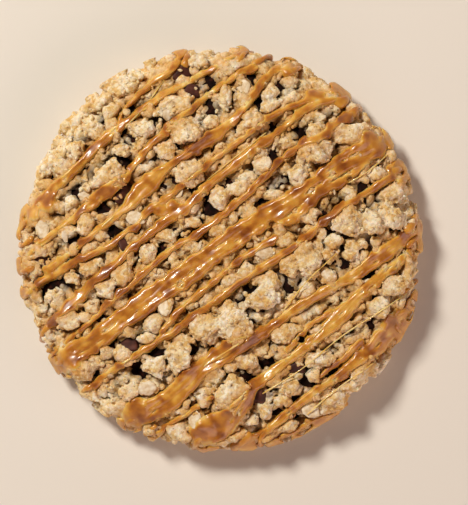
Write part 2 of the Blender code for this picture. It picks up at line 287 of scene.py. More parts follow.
# Nuggets that can be told apart in the photograph: x, y, length, width, turn in degrees
LARGE_NUGGETS = (
    (4, -19.5, 9, 8.5, 0), (-8.5, 30.5, 8.5, 8, 0), (-26, 42, 9, 7, 10), (-3.5, -20, 8, 7.5, 90),
    (2.5, -37.5, 8, 7.5, 90), (24.5, 25.5, 9, 6.5, 0), (-12, 36.5, 11, 5.5, 20), (33, 30, 11, 5.5, 8),
    (22.5, -2.5, 8.5, 7, 90), (-28, 19, 9, 6.5, 12), (-10.5, -27.5, 7.5, 7, 90), (11, -12.5, 8.5, 6, 10),
    (-7.5, 20, 7, 6.5, 0), (44, 8.5, 7, 6.5, 0), (32.5, 7.5, 7, 6.5, 0), (-35.5, -30.5, 7.5, 5.5, 10),
    (29, -39.5, 7.5, 5.5, 25), (39, 7, 6.5, 6, 90), (-24.5, -7, 6.5, 6, 0), (-38.5, -18, 7, 5.5, 0),
    (-46, 0, 8.5, 4.5, 10), (44.5, -9.5, 7.5, 5, 0), (22, 9, 7, 5, 0), (-29.5, -40.5, 7, 5, -20),
    (16, -21, 7.5, 4.5, 15), (41, -15, 6, 5.5, 0), (-20, 31, 7, 4.5, 0), (0, 13.5, 6.5, 5, 0),
    (8.5, 33, 5.5, 5.5, 0), (43.5, 14, 7.5, 4, 0), (-29, -10, 6, 5, 0), (26, -28, 7.5, 4, 0),
    (18.5, 47, 6.5, 4.5, 0), (-2, -32.5, 7, 4, 20), (25, 30, 5.5, 5, 0), (-7.5, 49, 6, 4.5, 0),
    (-17, -30, 6, 4.5, 0), (7, -28.5, 5.5, 5, 0), (33.5, -35, 7.5, 3.5, 15), (20.5, -45.5, 7.5, 3.5, 20),
    (5, 15.5, 6.5, 4, 0), (-38, 32, 5, 5, 0), (-37, 25.5, 5, 5, 0), (18, -4, 5, 5, 0),
    (-40, 21, 5.5, 4.5, -20), (-13.5, 25, 5.5, 4.5, 0), (-34.5, 6.5, 5.5, 4.5, 90), (32, 37.5, 7, 3.5, 0),
    (20, 19.5, 5.5, 4.5, 0), (-42.5, -12, 5.5, 4.5, 0), (-18.5, -1, 5.5, 4.5, 90), (-32, 30, 6.5, 4, 0),
    (42, -29, 6.5, 3.5, 70), (-28, 35.5, 5, 4.5, 0), (11, 21.5, 5, 4.5, 0), (-24.5, -27, 5, 4.5, 0),
    (-23.5, -36.5, 5, 4.5, 0), (-17.5, -19, 5, 4.5, 0), (13, -8, 5, 4.5, 0), (38.5, -30.5, 5, 4.5, 90),
    (-32.5, -4.5, 5.5, 4, 15), (-43.5, -22.5, 5.5, 4, -30), (7, -5.5, 5.5, 4, 20), (27.5, -7, 5.5, 4, 0),
    (18, -35.5, 5.5, 4, 0), (2, 47, 5, 4.5, 0), (40, 19.5, 6, 3.5, 15), (17.5, 2.5, 6, 3.5, 15),
)
MEDIUM_NUGGETS = (
    (6, 30.5, 4.5, 4.5, 0), (-46, -15, 5, 4, 90), (-32.5, -15, 5, 4, 0), (-18.5, -35.5, 5, 4, 0),
    (14, 14, 6.5, 3, 0), (-32.5, 0.5, 5.5, 3.5, 15), (22.5, -10.5, 5.5, 3.5, 30), (13, 40, 4.5, 4.5, 90),
    (29.5, 2.5, 5, 4, 0), (-14, -15, 5, 4, 75), (-32.5, 38, 4.5, 4, 0), (-41, 27.5, 4.5, 4, 0),
    (-2, 32.5, 4.5, 4, 90), (-0.5, 5, 4.5, 4, 0), (-13.5, 3.5, 6, 3, 0), (22.5, 45, 4.5, 4, 90),
    (49.5, 9.5, 6, 3, 90), (-9.5, -23, 6, 3, 0), (-4, -39, 4.5, 4, 90), (3, -29.5, 4.5, 4, 0),
    (48, 16, 5.5, 3.5, 90), (-33, 33, 5, 3.5, 0), (-24.5, 25.5, 5, 3.5, 0), (-41.5, 11, 5, 3.5, 0),
    (-49.5, 3.5, 5, 3.5, 90), (-39, 4.5, 5, 3.5, 0), (1.5, 39, 5, 3.5, 90), (33, 14.5, 5, 3.5, 0),
    (2.5, -8, 5, 3.5, 60), (10, -25.5, 5, 3.5, 0), (12, -41.5, 4.5, 4, 90), (-7.5, 7, 5.5, 3, 0),
    (32, -19.5, 5.5, 3, 20), (0.5, 25.5, 5, 3.5, 0), (-45, 20, 4, 4, 0), (12.5, 36.5, 4, 4, 0),
    (18, 43, 4.5, 3.5, 0), (28, -1.5, 4.5, 3.5, 0), (-28.5, -20, 4.5, 3.5, 0), (-33, -36.5, 4.5, 3.5, 0),
    (-25.5, -13.5, 4.5, 3.5, 0), (48.5, -6, 4.5, 3.5, 0), (16, -39, 4.5, 3.5, 0), (11.5, 47.5, 5, 3, 0),
    (7.5, 18.5, 5, 3, 0), (33.5, -1.5, 5, 3, 0), (35, 1.5, 5, 3, 0), (-29, -26.5, 4, 4, 0),
    (-22, 45, 4, 3.5, 0), (-45.5, 5, 4, 3.5, 0), (24, -32, 4, 3.5, 90), (23.5, -41, 4, 3.5, 60),
    (8.5, -43.5, 4, 3.5, 0), (-45, 16.5, 4.5, 3, 0), (19, 39, 4.5, 3, 0), (-37.5, -7.5, 4.5, 3, 0),
    (-8, -14, 4.5, 3, 0), (-18.5, -23, 4.5, 3, 0), (-18, 47.5, 3.5, 4, 0), (3, -50, 5, 2.5, 0),
)

# Dark gaps that stay open between the nuggets: x, y, width, height
GAPS = (
    (-23.5, -24.5, 7.5, 2.5), (18.5, -9, 4, 3.5), (28.5, -31.5, 5, 2.5), (-30, 10.5, 3.5, 3),
    (20, 29.5, 3.5, 3), (-12.5, 16.5, 5, 2), (-11.5, 27, 5, 2), (-38, 2.5, 5, 2), (11, -28.5, 5, 2),
    (9, -46.5, 4, 2.5), (-2, 10.5, 3, 3), (-16, -26.5, 3, 3), (-27.5, 4.5, 3.5, 2.5),
    (20.5, 36.5, 5.5, 1.5), (42.5, -2, 5.5, 1.5), (6.5, -33, 4, 2), (-26, 22.5, 6, 1.5),
    (26, 9, 2.5, 3), (-41, -8, 5, 1.5), (18.5, -38.5, 3, 2.5), (-2, 37, 2, 3.5), (2, 16.5, 3.5, 2),
    (8, -10, 3.5, 2), (31.5, -3.5, 3.5, 2), (38, -6.5, 3.5, 2), (41, -13, 3.5, 2),
    (36.5, 16, 2.5, 2.5), (-3, 43.5, 4, 1.5), (-11, 2.5, 3, 2), (15.5, 41, 1.5, 4), (11.5, 12.5, 2, 3),
    (17.5, 17.5, 3, 2), (-45, -10.5, 3, 2), (-18.5, -21.5, 3, 2), (-5.5, 6.5, 2, 2.5),
    (10, 37, 2.5, 2), (14, 31, 2.5, 2), (13.5, 23.5, 2, 2.5), (-7, -26, 2, 2.5),
    (-20.5, -31.5, 4, 1.5), (-14.5, -44.5, 2.5, 2), (22.5, -34, 2.5, 2), (-36, 13.5, 3, 1.5),
    (-15.5, -1.5, 1.5, 3), (-23.5, 30, 3.5, 1.5), (32, 33, 3.5, 1.5), (28.5, 5.5, 2, 2),
    (-48, -4, 2, 2), (21.5, -23, 2, 2), (39, 12.5, 2.5, 1.5), (-29.5, -17.5, 3, 1.5),
    (-31.5, -31.5, 1.5, 2.5), (-11.5, -45, 2.5, 1.5), (5.5, -13, 2.5, 1.5), (-22.5, 36.5, 2.5, 1.5),
    (34, 21.5, 2.5, 1.5), (-40.5, -4.5, 2.5, 1.5), (-4, -13.5, 2, 1.5), (15, -42.5, 2, 1.5),
    (8, 43.5, 2, 1.5), (-31.5, -19.5, 2, 1.5), (-23.5, -41, 1.5, 2), (43, 22, 2, 1),
    (-35.5, 21.5, 1.5, 1.5), (-6, 16, 1.5, 1.5), (39, -19.5, 1.5, 1.5), (-25.5, 33, 1, 1.5),
)

# Oat flakes: x, y, turn in degrees
FLAKES = (
    (6, 41.5, 5), (-21.5, 8, 15), (-45.5, 5, 0), (-14, -14.5, 75), (11.5, -0.5, 30), (-6.5, -43.5, 0),
    (17, -47.5, 20), (23.5, -41.5, 60), (-18.5, -35.5, 0), (37.5, -9.5, 30), (-36, 35, 0),
)

# Chocolate chips in the gaps: x, y, turn in degrees
CHIPS = (
    (-9.5, 45, 10), (-7, 40.5, 30), (-24.5, 14.5, 50), (-24, 2, 80), (20, -30, 10), (9.5, -38, 40),
    (-46, -3.2, 20), (-23, -24.5, 30),
)

# Caramel strands, from upper right to lower left: x, y, width along each route
STRANDS = {
    "1": (
        (-9.5, 51, 2.4), (-12.5, 46.5, 2.6), (-17.5, 43, 1.8), (-21, 39.5, 1.6), (-24, 36.5, 1),
        (-26, 32.5, 0.6),
    ),
    "2": (
        (5.5, 51.5, 1.8), (0.5, 48, 1.2), (-5.5, 44.5, 1.6), (-15.5, 39, 1.8), (-24.5, 32.5, 2),
        (-30.5, 27.5, 2.8), (-36.5, 21, 2.4), (-43, 15.5, 3.4), (-48.5, 9.5, 3.6), (-51.5, 3.5, 1.8),
    ),
    "3": (
        (9.5, 47.5, 2), (2, 43.5, 1.2), (-9, 34.5, 1.6), (-18, 26.5, 1.8), (-23.5, 19.5, 2), (-28.5, 15, 3.4),
        (-37, 8.5, 2), (-46.5, 1, 2), (-52.5, -4.5, 2),
    ),
    "4": (
        (19, 49, 2.4), (12, 44, 2.6), (5.5, 35.5, 2), (-2.5, 28.5, 3), (-12, 22, 2.6), (-19, 16, 4.4),
        (-26, 9, 2.6), (-36, 1, 1.8), (-44.5, -5.5, 2.4),
    ),
    "5": (
        (32, 41.5, 2.4), (23, 39, 2), (14, 34.5, 1.6), (1.5, 25.5, 1.6), (-8, 17.5, 1.6), (-18, 10, 1.8),
        (-26, 2.5, 1.6), (-34.5, -2, 2), (-43.5, -7, 2), (-50.5, -11.5, 2),
    ),
    "6": (
        (32, 39.5, 2.6), (23.5, 37, 2.4), (16, 31, 2), (9.5, 26, 2.8), (0.5, 19, 2), (-9, 10.5, 2.6),
        (-20.5, 2, 2), (-30.5, -6.5, 2.6), (-39.5, -15.5, 2.8), (-45, -21, 2),
    ),
    "7": (
        (34.5, 35.5, 2.4), (26.5, 29.5, 2.4), (18, 25, 1.8), (9, 16, 2), (-3, 6, 1.8), (-14, -1.5, 1.8),
        (-26, -12, 1.6), (-35.5, -20.5, 1.2), (-41.5, -25.5, 1),
    ),
    "8": (
        (42.5, 28.5, 5.6), (39, 26, 6.8), (31, 21.5, 5), (22, 15, 5.6), (11.5, 8, 6.4), (0.5, 0.5, 6.4),
        (-10, -6.5, 6.8), (-20.5, -14.5, 6.8), (-30.5, -22.5, 5.4), (-40.5, -28.5, 5.4), (-43, -30, 4.2),
    ),
    "9": ((38, 22.5, 2), (31.5, 17.5, 2.4), (24.5, 13.5, 2.8), (19.5, 8, 2.8), (14.5, 6.5, 1.6)),
    "9b": ((14.5, 3, 2), (6, -2, 1.8), (-3, -9.5, 1.6), (-9.5, -15, 1.6), (-14.5, -21, 1.6)),
    "10": (
        (47.5, 21.5, 3), (40, 16, 2), (29, 9, 1.8), (19.5, 1, 2), (6.5, -7.5, 2), (-3.5, -15, 2),
        (-15.5, -23.5, 1.8), (-24.5, -29, 1.8), (-32.5, -35, 1.8),
    ),
    "12": (
        (52, 6.2, 3), (46, 1.5, 4.6), (39.5, -3, 3.8), (33.5, -7, 3), (20.5, -14.5, 3.2), (11, -21, 3.4),
        (4, -25, 5), (-5, -31, 5.4), (-14, -39, 5.8), (-19.5, -42.5, 6.2), (-22.5, -45, 4.2),
    ),
    "13": (
        (52.5, 1.5, 2), (46, -3.5, 2.6), (37.5, -10.5, 3.4), (30.5, -18, 4.6), (19.5, -27, 2.6),
        (10, -34, 3.4), (4, -41.5, 5.2), (-2, -47, 7), (-5, -49.5, 5.6),
    ),
    "13b": ((28.5, -16, 1.6), (22.5, -20, 1.2), (17.5, -26, 1.8)),
    "15": (
        (48, -18, 3), (44, -21.5, 5.2), (38.5, -26.5, 4.2), (29.5, -33, 2.4), (20, -40, 2.4),
        (12.5, -46.5, 3), (7, -51, 2.8),
    ),
    "15b": ((36.5, -23.5, 2), (31.5, -28, 1.8), (25.5, -33, 0.6)),
    "16": ((-2, -38, 0.8), (-9, -42.5, 1), (-17.5, -48.5, 1.2)),
    "17": ((30, -42, 1.2), (25, -44.5, 2), (19, -47.5, 2.2), (13, -50.3, 1.8)),
    "18": ((50.5, -11.5, 1.4), (51, -15.5, 2.2), (49.5, -20, 1.6)),
}

# Small pools beside the strands: x, y, width
POOLS = (
    (24, 39.5, 3.5), (29.5, 41, 3), (41.5, 27.5, 5.5), (38.5, 29, 4.5), (46, 21, 4), (48, 18.5, 3),
    (-40.5, -28.5, 6), (-42, -31, 6.5), (-21, -42, 6.5), (-23.5, -44, 5), (-3.5, -47, 7.5), (0, -45, 6),
    (-50, -11, 3.5), (-48.5, 9, 4), (-15, 10, 3), (-12, 11, 3), (51, 4.5, 3.5), (46.5, -20.5, 5.5),
    (5.5, 50.5, 3), (18.5, 48.5, 4), (-51.5, -5, 3), (-44.5, 12, 4.5), (7, -50, 4), (49.5, -17.5, 4),
)

# Holes that stay open in the wide strands: x, y, width
HOLES = ((13.5, 6.5, 1.8), (25, -20, 2.4), (21, -23, 2.2), (-10, -9, 1.0), (33.5, 18, 1.4))

# Threads finer than a strand, from upper right to lower left: x, y at their ends and at any bend
THREADS = (
    ((51, -9.5), (41, -16), (31, -22.5), (20.5, -31), (11, -37)),
    ((30, -1), (22.5, -8), (16.5, -15.5)),
    ((-14, 44), (-19, 37), (-24.5, 31)),
    ((45, 26), (38, 20), (31, 16)),
    ((12, 30), (2, 22), (-6, 15.5)),
    ((2, 2), (-6, -6), (-15, -13.5)),
    ((-22, 13), (-30, 6), (-37, 0.5)),
    ((34, -12), (26, -20.5), (18, -28.5)),
    ((40, -29), (30, -36), (22, -43)),
    ((5, -24), (-4, -30), (-10, -36)),
)


def linear(hex_colour):
    """An sRGB hex colour as the linear numbers that a shader takes."""
    parts = [int(hex_colour[i:i + 2], 16) / 255 for i in (1, 3, 5)]
    return (*[part / 12.92 if part <= 0.04045 else ((part + 0.055) / 1.055) ** 2.4 for part in parts], 1.0)


def add_node(tree, kind, inputs=None, stops=None, **settings):
    """Adds one shader node. An input is a value or another node's output; stops are a colour ramp's."""
    made = tree.nodes.new("ShaderNode" + kind)
    for name, value in settings.items():
        setattr(made, name, value)
    if stops:
        made.color_ramp.elements.remove(made.color_ramp.elements[1])
    for number, (place, colour) in enumerate(stops or ()):
        stop = made.color_ramp.elements[0] if number == 0 else made.color_ramp.elements.new(place)
        stop.position = place
        stop.color = linear(colour)
    for name, value in (inputs or {}).items():
        if isinstance(value, bpy.types.NodeSocket):
            tree.links.new(value, made.inputs[name])
        else:
            made.inputs[name].default_value = value
    return made


def per_metre(spacing):
    """The texture scale that repeats a pattern every so many millimetres."""
    return 1.0 / (spacing * MM)


def new_material(name):
    """A new material, and the shader that it starts with."""
    material = bpy.data.materials.new(name)
    material.use_nodes = True
    return material, material.node_tree.nodes["Principled BSDF"]


def set_shader(shader, **values):
    """Gives the shader plain values, and other nodes' outputs as links."""
    for name, value in values.items():
        socket = shader.inputs[name.replace("_", " ")]
        if isinstance(value, bpy.types.NodeSocket):
            shader.id_data.links.new(value, socket)
        else:
            socket.default_value = value


def baked_oat_crumb():
    """Butter crumble of oats, flour and brown sugar, baked dry.

    The eye gets a matt, grainy crumb: pale where flour shows, toasted at its edges, with painted shade in its
    creases, in dark pores and along the seams between its grains, dark low down where chocolate soaks in and
    painted shade falls between the nuggets, and glossy where caramel wets it.
    """
    material, shader = new_material("baked_oat_crumb")
    tree = material.node_tree
    place = add_node(tree, "TexCoord").outputs["Object"]
    relief, soaked, glaze = [
        add_node(tree, "Attribute", attribute_name=name).outputs["Fac"]
        for name in ("relief", "soaked", "glaze")
    ]
    # Browned patches, specks of flour, and grit, which is finer really, as coarse as it needs to be to show
    patches, specks, grit = [
        add_node(tree, "TexNoise", {"Vector": place, "Scale": per_metre(width), "Detail": 4.0}).outputs["Fac"]
        for width in (5.0, 1.5, 0.5)
    ]
    wander = add_node(tree, "TexNoise", {"Vector": place, "Scale": per_metre(0.8)}).outputs["Color"]
    shift = add_node(tree, "VectorMath", {0: wander, "Scale": 0.5 * MM}, operation="SCALE").outputs["Vector"]
    bent = add_node(tree, "VectorMath", {0: place, 1: shift}, operation="ADD").outputs["Vector"]
    grains = {"Vector": bent, "Scale": per_metre(0.85)}
    grain = add_node(tree, "TexVoronoi", grains).outputs["Color"]
    seam = add_node(tree, "TexVoronoi", grains, feature="DISTANCE_TO_EDGE").outputs["Distance"]
    pores = add_node(tree, "TexVoronoi", {"Vector": place, "Scale": per_metre(0.9)})
    each_grain = add_node(tree, "SeparateXYZ", {"Vector": grain}).outputs["X"]
    each_pore = add_node(tree, "SeparateXYZ", {"Vector": pores.outputs["Color"]}).outputs["Y"]

    # What each range reads, from where to where, and what it gives there
    tint, floury, crease_shade, hole, seam_shade, patchy, sand = [
        add_node(
            tree, "MapRange",
            {"Value": value, "From Min": start, "From Max": end, "To Min": first, "To Max": last},
        ).outputs["Result"]
        for value, start, end, first, last in (
            (each_grain, 0.0, 1.0, -0.13, 0.13),
            (specks, 0.5, 0.68, 0.0, 0.6),
            # Painted shade: the crease colour comes in where the relief is low
            (relief, 0.05, 0.5, 0.65, 0.0),
            # Painted shade: dark pores, and darker seams between the grains
            (pores.outputs["Distance"], 0.12, 0.32, 0.75, 0.0),
            (seam, 0.02, 0.14, 0.12, 0.0),
            (specks, 0.3, 0.62, 0.15, 1.0),
            (seam, 0.0, 0.25, 0.0, 1.0),
        )
    ]
    toast = add_node(tree, "Math", {0: patches, 1: tint}, operation="ADD").outputs[0]
    chosen = add_node(tree, "Math", {0: each_pore, 1: 0.76}, operation="GREATER_THAN").outputs[0]
    pore_shade = add_node(tree, "Math", {0: hole, 1: chosen}, operation="MULTIPLY").outputs[0]
    pit_and_seam_shade = add_node(tree, "Math", {0: pore_shade, 1: seam_shade}, operation="MAXIMUM").outputs[0]
    wet = add_node(tree, "Math", {0: glaze, 1: patchy}, operation="MULTIPLY").outputs[0]

    colour = add_node(
        tree, "ValToRGB", {"Fac": toast},
        stops=((0.2, "#FBF3E2"), (0.42, "#F3DEB2"), (0.6, "#E4BD76"), (0.85, "#C98E40")),
    ).outputs["Color"]
    # Colour layers over the toast: flour; painted shade in creases; chocolate soak with painted shade low
    # between the nuggets; painted shade in pores and seams; the caramel's wet
    layers = (
        (floury, "#FAF2E0"), (crease_shade, "#94581F"), (soaked, "#300F02"), (pit_and_seam_shade, "#86592C"), (wet, "#D69C4C"),
    )
    for share, over in layers:
        mix = add_node(tree, "MixRGB", {"Fac": share, "Color1": colour, "Color2": linear(over)})
        colour = mix.outputs["Color"]
    gloss = add_node(tree, "MapRange", {"Value": wet, "To Min": 0.75, "To Max": 0.25}).outputs["Result"]
    sandy = add_node(tree, "Bump", {"Height": sand, "Strength": 0.4, "Distance": 0.16 * MM}).outputs["Normal"]
    gritty = add_node(
        tree, "Bump", {"Height": grit, "Strength": 0.9, "Distance": 0.34 * MM, "Normal": sandy}
    ).outputs["Normal"]
    set_shader(
        shader, Base_Color=colour, Roughness=gloss, Normal=gritty,
        Subsurface_Weight=0.2, Subsurface_Radius=(0.9 * MM, 0.55 * MM, 0.3 * MM), Subsurface_Scale=1.0,
    )
    return material


def rolled_oat():
    """Rolled oat flakes, steamed and pressed flat: pale cream and faintly silky, with darker streaks."""
    material, shader = new_material("rolled_oat")
    tree = material.node_tree
    place = add_node(tree, "TexCoord").outputs["Object"]
    # Streaks of bran, and a grain that is finer really, as coarse as it needs to be to show
    streaks, grit = [
        add_node(tree, "TexNoise", {"Vector": place, "Scale": per_metre(width), "Detail": 3.0}).outputs["Fac"]
        for width in (1.2, 0.6)
    ]
    colour = add_node(
        tree, "ValToRGB", {"Fac": streaks}, stops=((0.3, "#CFAE7E"), (0.5, "#E6D0AC"), (0.7, "#F3E8D2")),
    ).outputs["Color"]
    bump = add_node(tree, "Bump", {"Height": grit, "Strength": 0.4, "Distance": 0.15 * MM}).outputs["Normal"]
    set_shader(shader, Base_Color=colour, Normal=bump, Roughness=0.55)
    return material


def set_caramel():
    """Caramel boiled with cream and set glossy: deep amber where it is thick, pale straw where it is thin."""
    material, shader = new_material("set_caramel")
    tree = material.node_tree
    depth = add_node(tree, "Attribute", attribute_name="depth").outputs["Fac"]
    place = add_node(tree, "TexCoord").outputs["Object"]
    swirl = add_node(
        tree, "TexNoise", {"Vector": place, "Scale": per_metre(3.0), "Detail": 2.0}
    ).outputs["Fac"]
    uneven = add_node(
        tree, "MapRange", {"Value": swirl, "From Min": 0.3, "From Max": 0.7, "To Min": -0.16, "To Max": 0.16}
    ).outputs["Result"]
    amber = add_node(tree, "Math", {0: depth, 1: uneven}, operation="ADD").outputs[0]
    colour = add_node(
        tree, "ValToRGB", {"Fac": amber},
        stops=(
            (0.0, "#EFCE88"), (0.15, "#E4B456"), (0.35, "#D29638"), (0.55, "#B87424"), (0.8, "#8A4A16"),
            (1.0, "#64300C"),
        ),
    ).outputs["Color"]
    set_shader(
        shader, Base_Color=colour, Roughness=0.33, IOR=1.49, Coat_Weight=0.4, Coat_Roughness=0.08,
        Subsurface_Weight=0.4, Subsurface_Radius=(1.8 * MM, 1.0 * MM, 0.4 * MM), Subsurface_Scale=1.0,
    )
    return material


def chocolate_and_gap_shade():
    """Dark chocolate that ran between the crumbs and set dull: painted nearly black as the shade of the deep
    gaps, with a warm brown cast.
    """
    material, shader = new_material("chocolate_and_gap_shade")
    tree = material.node_tree
    place = add_node(tree, "TexCoord").outputs["Object"]
    bloom = add_node(
        tree, "TexNoise", {"Vector": place, "Scale": per_metre(1.2), "Detail": 4.0}
    ).outputs["Fac"]
    # Near black, darker than chocolate itself: painted shade for the deep gaps
    colour = add_node(
        tree, "ValToRGB", {"Fac": bloom}, stops=((0.35, "#0C0300"), (0.55, "#1E0903"), (0.75, "#42190A")),
    ).outputs["Color"]
    bump = add_node(tree, "Bump", {"Height": bloom, "Strength": 0.8, "Distance": 0.5 * MM}).outputs["Normal"]
    set_shader(shader, Base_Color=colour, Normal=bump, Roughness=0.85, IOR=1.25)
    return material


def chocolate_chunk():
    """Baked chocolate chunks that kept their shape: red-brown, and satin under a thin grey bloom."""
    material, shader = new_material("chocolate_chunk")
    tree = material.node_tree
    place = add_node(tree, "TexCoord").outputs["Object"]
    bloom = add_node(
        tree, "TexNoise", {"Vector": place, "Scale": per_metre(2.0), "Detail": 3.0}
    ).outputs["Fac"]
    colour = add_node(
        tree, "ValToRGB", {"Fac": bloom}, stops=((0.35, "#34140C"), (0.55, "#4C2418"), (0.7, "#66392C")),
    ).outputs["Color"]
    set_shader(shader, Base_Color=colour, Roughness=0.62, IOR=1.4)
    return material


def stage_card():
    """Uncoated card, matt and pale, so shadows on it are soft."""
    material, shader = new_material("stage_card")
    set_shader(shader, Base_Color=linear("#E8E2D8"), Roughness=0.9)
    return material


def mesh_object(name, points, faces, material, attributes=None):
    """A smooth object from points in millimetres, with the numbers that its material reads at each."""
    mesh = bpy.data.meshes.new(name)
    mesh.from_pydata((np.asarray(points) * MM).tolist(), [], np.asarray(faces).tolist())
    mesh.shade_smooth()
    for label, values in (attributes or {}).items():
        mesh.attributes.new(label, "FLOAT", "POINT").data.foreach_set("value", np.asarray(values, np.float32))
    mesh.materials.append(material)
    return in_scene(name, mesh)


def in_scene(name, data):
    """An object with this mesh, curve, lamp or camera, put in the scene."""
    thing = bpy.data.objects.new(name, data)
    bpy.context.scene.collection.objects.link(thing)
    return thing


def ball(detail):
    """Points and triangles of a unit sphere of evenly spread triangles."""
    shape = bmesh.new()
    bmesh.ops.create_icosphere(shape, subdivisions=detail, radius=1.0)
    points = np.array([corner.co for corner in shape.verts])
    faces = np.array([[corner.index for corner in face.verts] for face in shape.faces])
    shape.free()
    return points, faces


BALLS = {detail: ball(detail) for detail in range(1, 5)}


def drift(*place):
    """Smooth random drift from about -1 to 1, always the same at the same place."""
    return noise.noise(Vector(place))


def to_cell(place, spacing):
    """How far it is to the middle of the nearest of many random cells, as a share of their spacing."""
    return noise.voronoi(place / spacing)[0][0]


def at(radius, around, height):
    """The point this far out from the cookie's middle, this way round it and this high."""
    return radius * math.cos(around), radius * math.sin(around), height


def somewhere(reach, rng):
    """A random place on a disc, anywhere as likely as anywhere else: its radius, x and y."""
    radius = reach * math.sqrt(rng.random())
    return radius, *at(radius, rng.uniform(0.0, FULL_TURN), 0.0)[:2]


def turned(turn, tilt, rng):
    """A random tilt of up to so many radians, then a turn by so many degrees."""
    tilts = [Matrix.Rotation(rng.uniform(-tilt, tilt), 3, axis) for axis in "XY"]
    return Matrix.Rotation(math.radians(turn), 3, "Z") @ (tilts[0] @ tilts[1])


def random_turns(count, rng):
    """Rotation matrices that face every way equally often."""
    spins = rng.normal(size=(4, count))
    w, x, y, z = spins / np.linalg.norm(spins, axis=0)
    return np.array([
        [1 - 2 * (y * y + z * z), 2 * (x * y - z * w), 2 * (x * z + y * w)],
        [2 * (x * y + z * w), 1 - 2 * (x * x + z * z), 2 * (y * z - x * w)],
        [2 * (x * z - y * w), 2 * (y * z + x * w), 1 - 2 * (x * x + y * y)],
    ]).transpose(2, 0, 1)


def spread_directions(count, rng):
    """Unit vectors spread evenly over a sphere, a little out of step."""
    step = np.arange(count) + 0.5
    z = 1 - 2 * step / count
    around = step * GOLDEN_ANGLE
    flat = np.sqrt(1 - z * z)
    rough = np.stack([flat * np.cos(around), flat * np.sin(around), z], axis=1)
    rough += rng.normal(0, 0.5 / math.sqrt(count), rough.shape)
    return rough / np.linalg.norm(rough, axis=1, keepdims=True)


def averaged(points, edges, times):
    """Each point moved to the middle of its neighbours, several times over."""
    count = np.bincount(edges.ravel(), minlength=len(points))[:, None]
    for time in range(times):
        total = np.zeros_like(points)
        for axis in range(3):
            total[:, axis] += np.bincount(edges[:, 0], points[edges[:, 1], axis], len(points))
            total[:, axis] += np.bincount(edges[:, 1], points[edges[:, 0], axis], len(points))
        points = total / np.maximum(count, 1)
    return points


def plain_object(points, faces):
    """A throw-away object for a modifier to work on."""
    mesh = bpy.data.meshes.new("work")
    mesh.from_pydata(points.tolist(), [], faces.tolist())
    return in_scene("work", mesh)


def arrays_of(thing):
    """Points, faces, edges and normals of an object after its modifiers; the object goes."""
    mesh = bpy.data.meshes.new_from_object(thing.evaluated_get(bpy.context.evaluated_depsgraph_get()))
    bpy.data.objects.remove(thing, do_unlink=True)
    points, normals = np.empty((2, len(mesh.vertices), 3))
    mesh.vertices.foreach_get("co", points.ravel())
    mesh.vertices.foreach_get("normal", normals.ravel())
    edges = np.empty((len(mesh.edges), 2), np.int32)
    mesh.edges.foreach_get("vertices", edges.ravel())
    faces = np.empty((len(mesh.polygons), len(mesh.polygons[0].vertices)), np.int32)
    mesh.polygons.foreach_get("vertices", faces.ravel())
    return points, faces, edges, normals


def roughened(points, normals, grain, scar):
    """The points moved in and out by a fine grain and by coarser scars."""
    rough = np.array([
        grain * noise.noise(Vector(point) / GRAIN_SPACING) + scar * noise.noise(Vector(point) / SCAR_SPACING)
        for point in points
    ])
    return points + normals * rough[:, None]


def held_in(points):
    """The points kept off the floor, and drawn in where they stand out past the rim."""
    points[:, 2] = np.maximum(points[:, 2], LOWEST)
    reach = np.hypot(points[:, 0], points[:, 1])
    held = np.minimum(reach, HEAP_REACH + HEAP_OVERHANG * (reach - HEAP_REACH))
    points[:, :2] *= (held / reach)[:, None]
    return points


def uncovered(points, faces, solid):
    """The part of a skin that isn't buried in the solid under it."""
    buried = []
    for point in points:
        spot, normal = solid.find_nearest(Vector(point))[:2]
        buried.append((Vector(point) - spot).dot(normal) < BURIED)
    shown = faces[~np.array(buried)[faces].all(axis=1)]
    used = np.unique(shown)
    renumbered = np.zeros(len(points), int)
    renumbered[used] = np.arange(len(used))
    return points[used], renumbered[shown]


def thinned(points, faces, most):
    """The skin with its holes closed, thinned out to so many triangles at most."""
    thing = plain_object(points, faces)
    shape = bmesh.new()
    shape.from_mesh(thing.data)
    bmesh.ops.holes_fill(shape, edges=[edge for edge in shape.edges if edge.is_boundary])
    bmesh.ops.triangulate(shape, faces=shape.faces)
    share = min(1.0, most / len(shape.faces))
    shape.to_mesh(thing.data)
    shape.free()
    thing.modifiers.new("thin", "DECIMATE").ratio = share
    return arrays_of(thing)


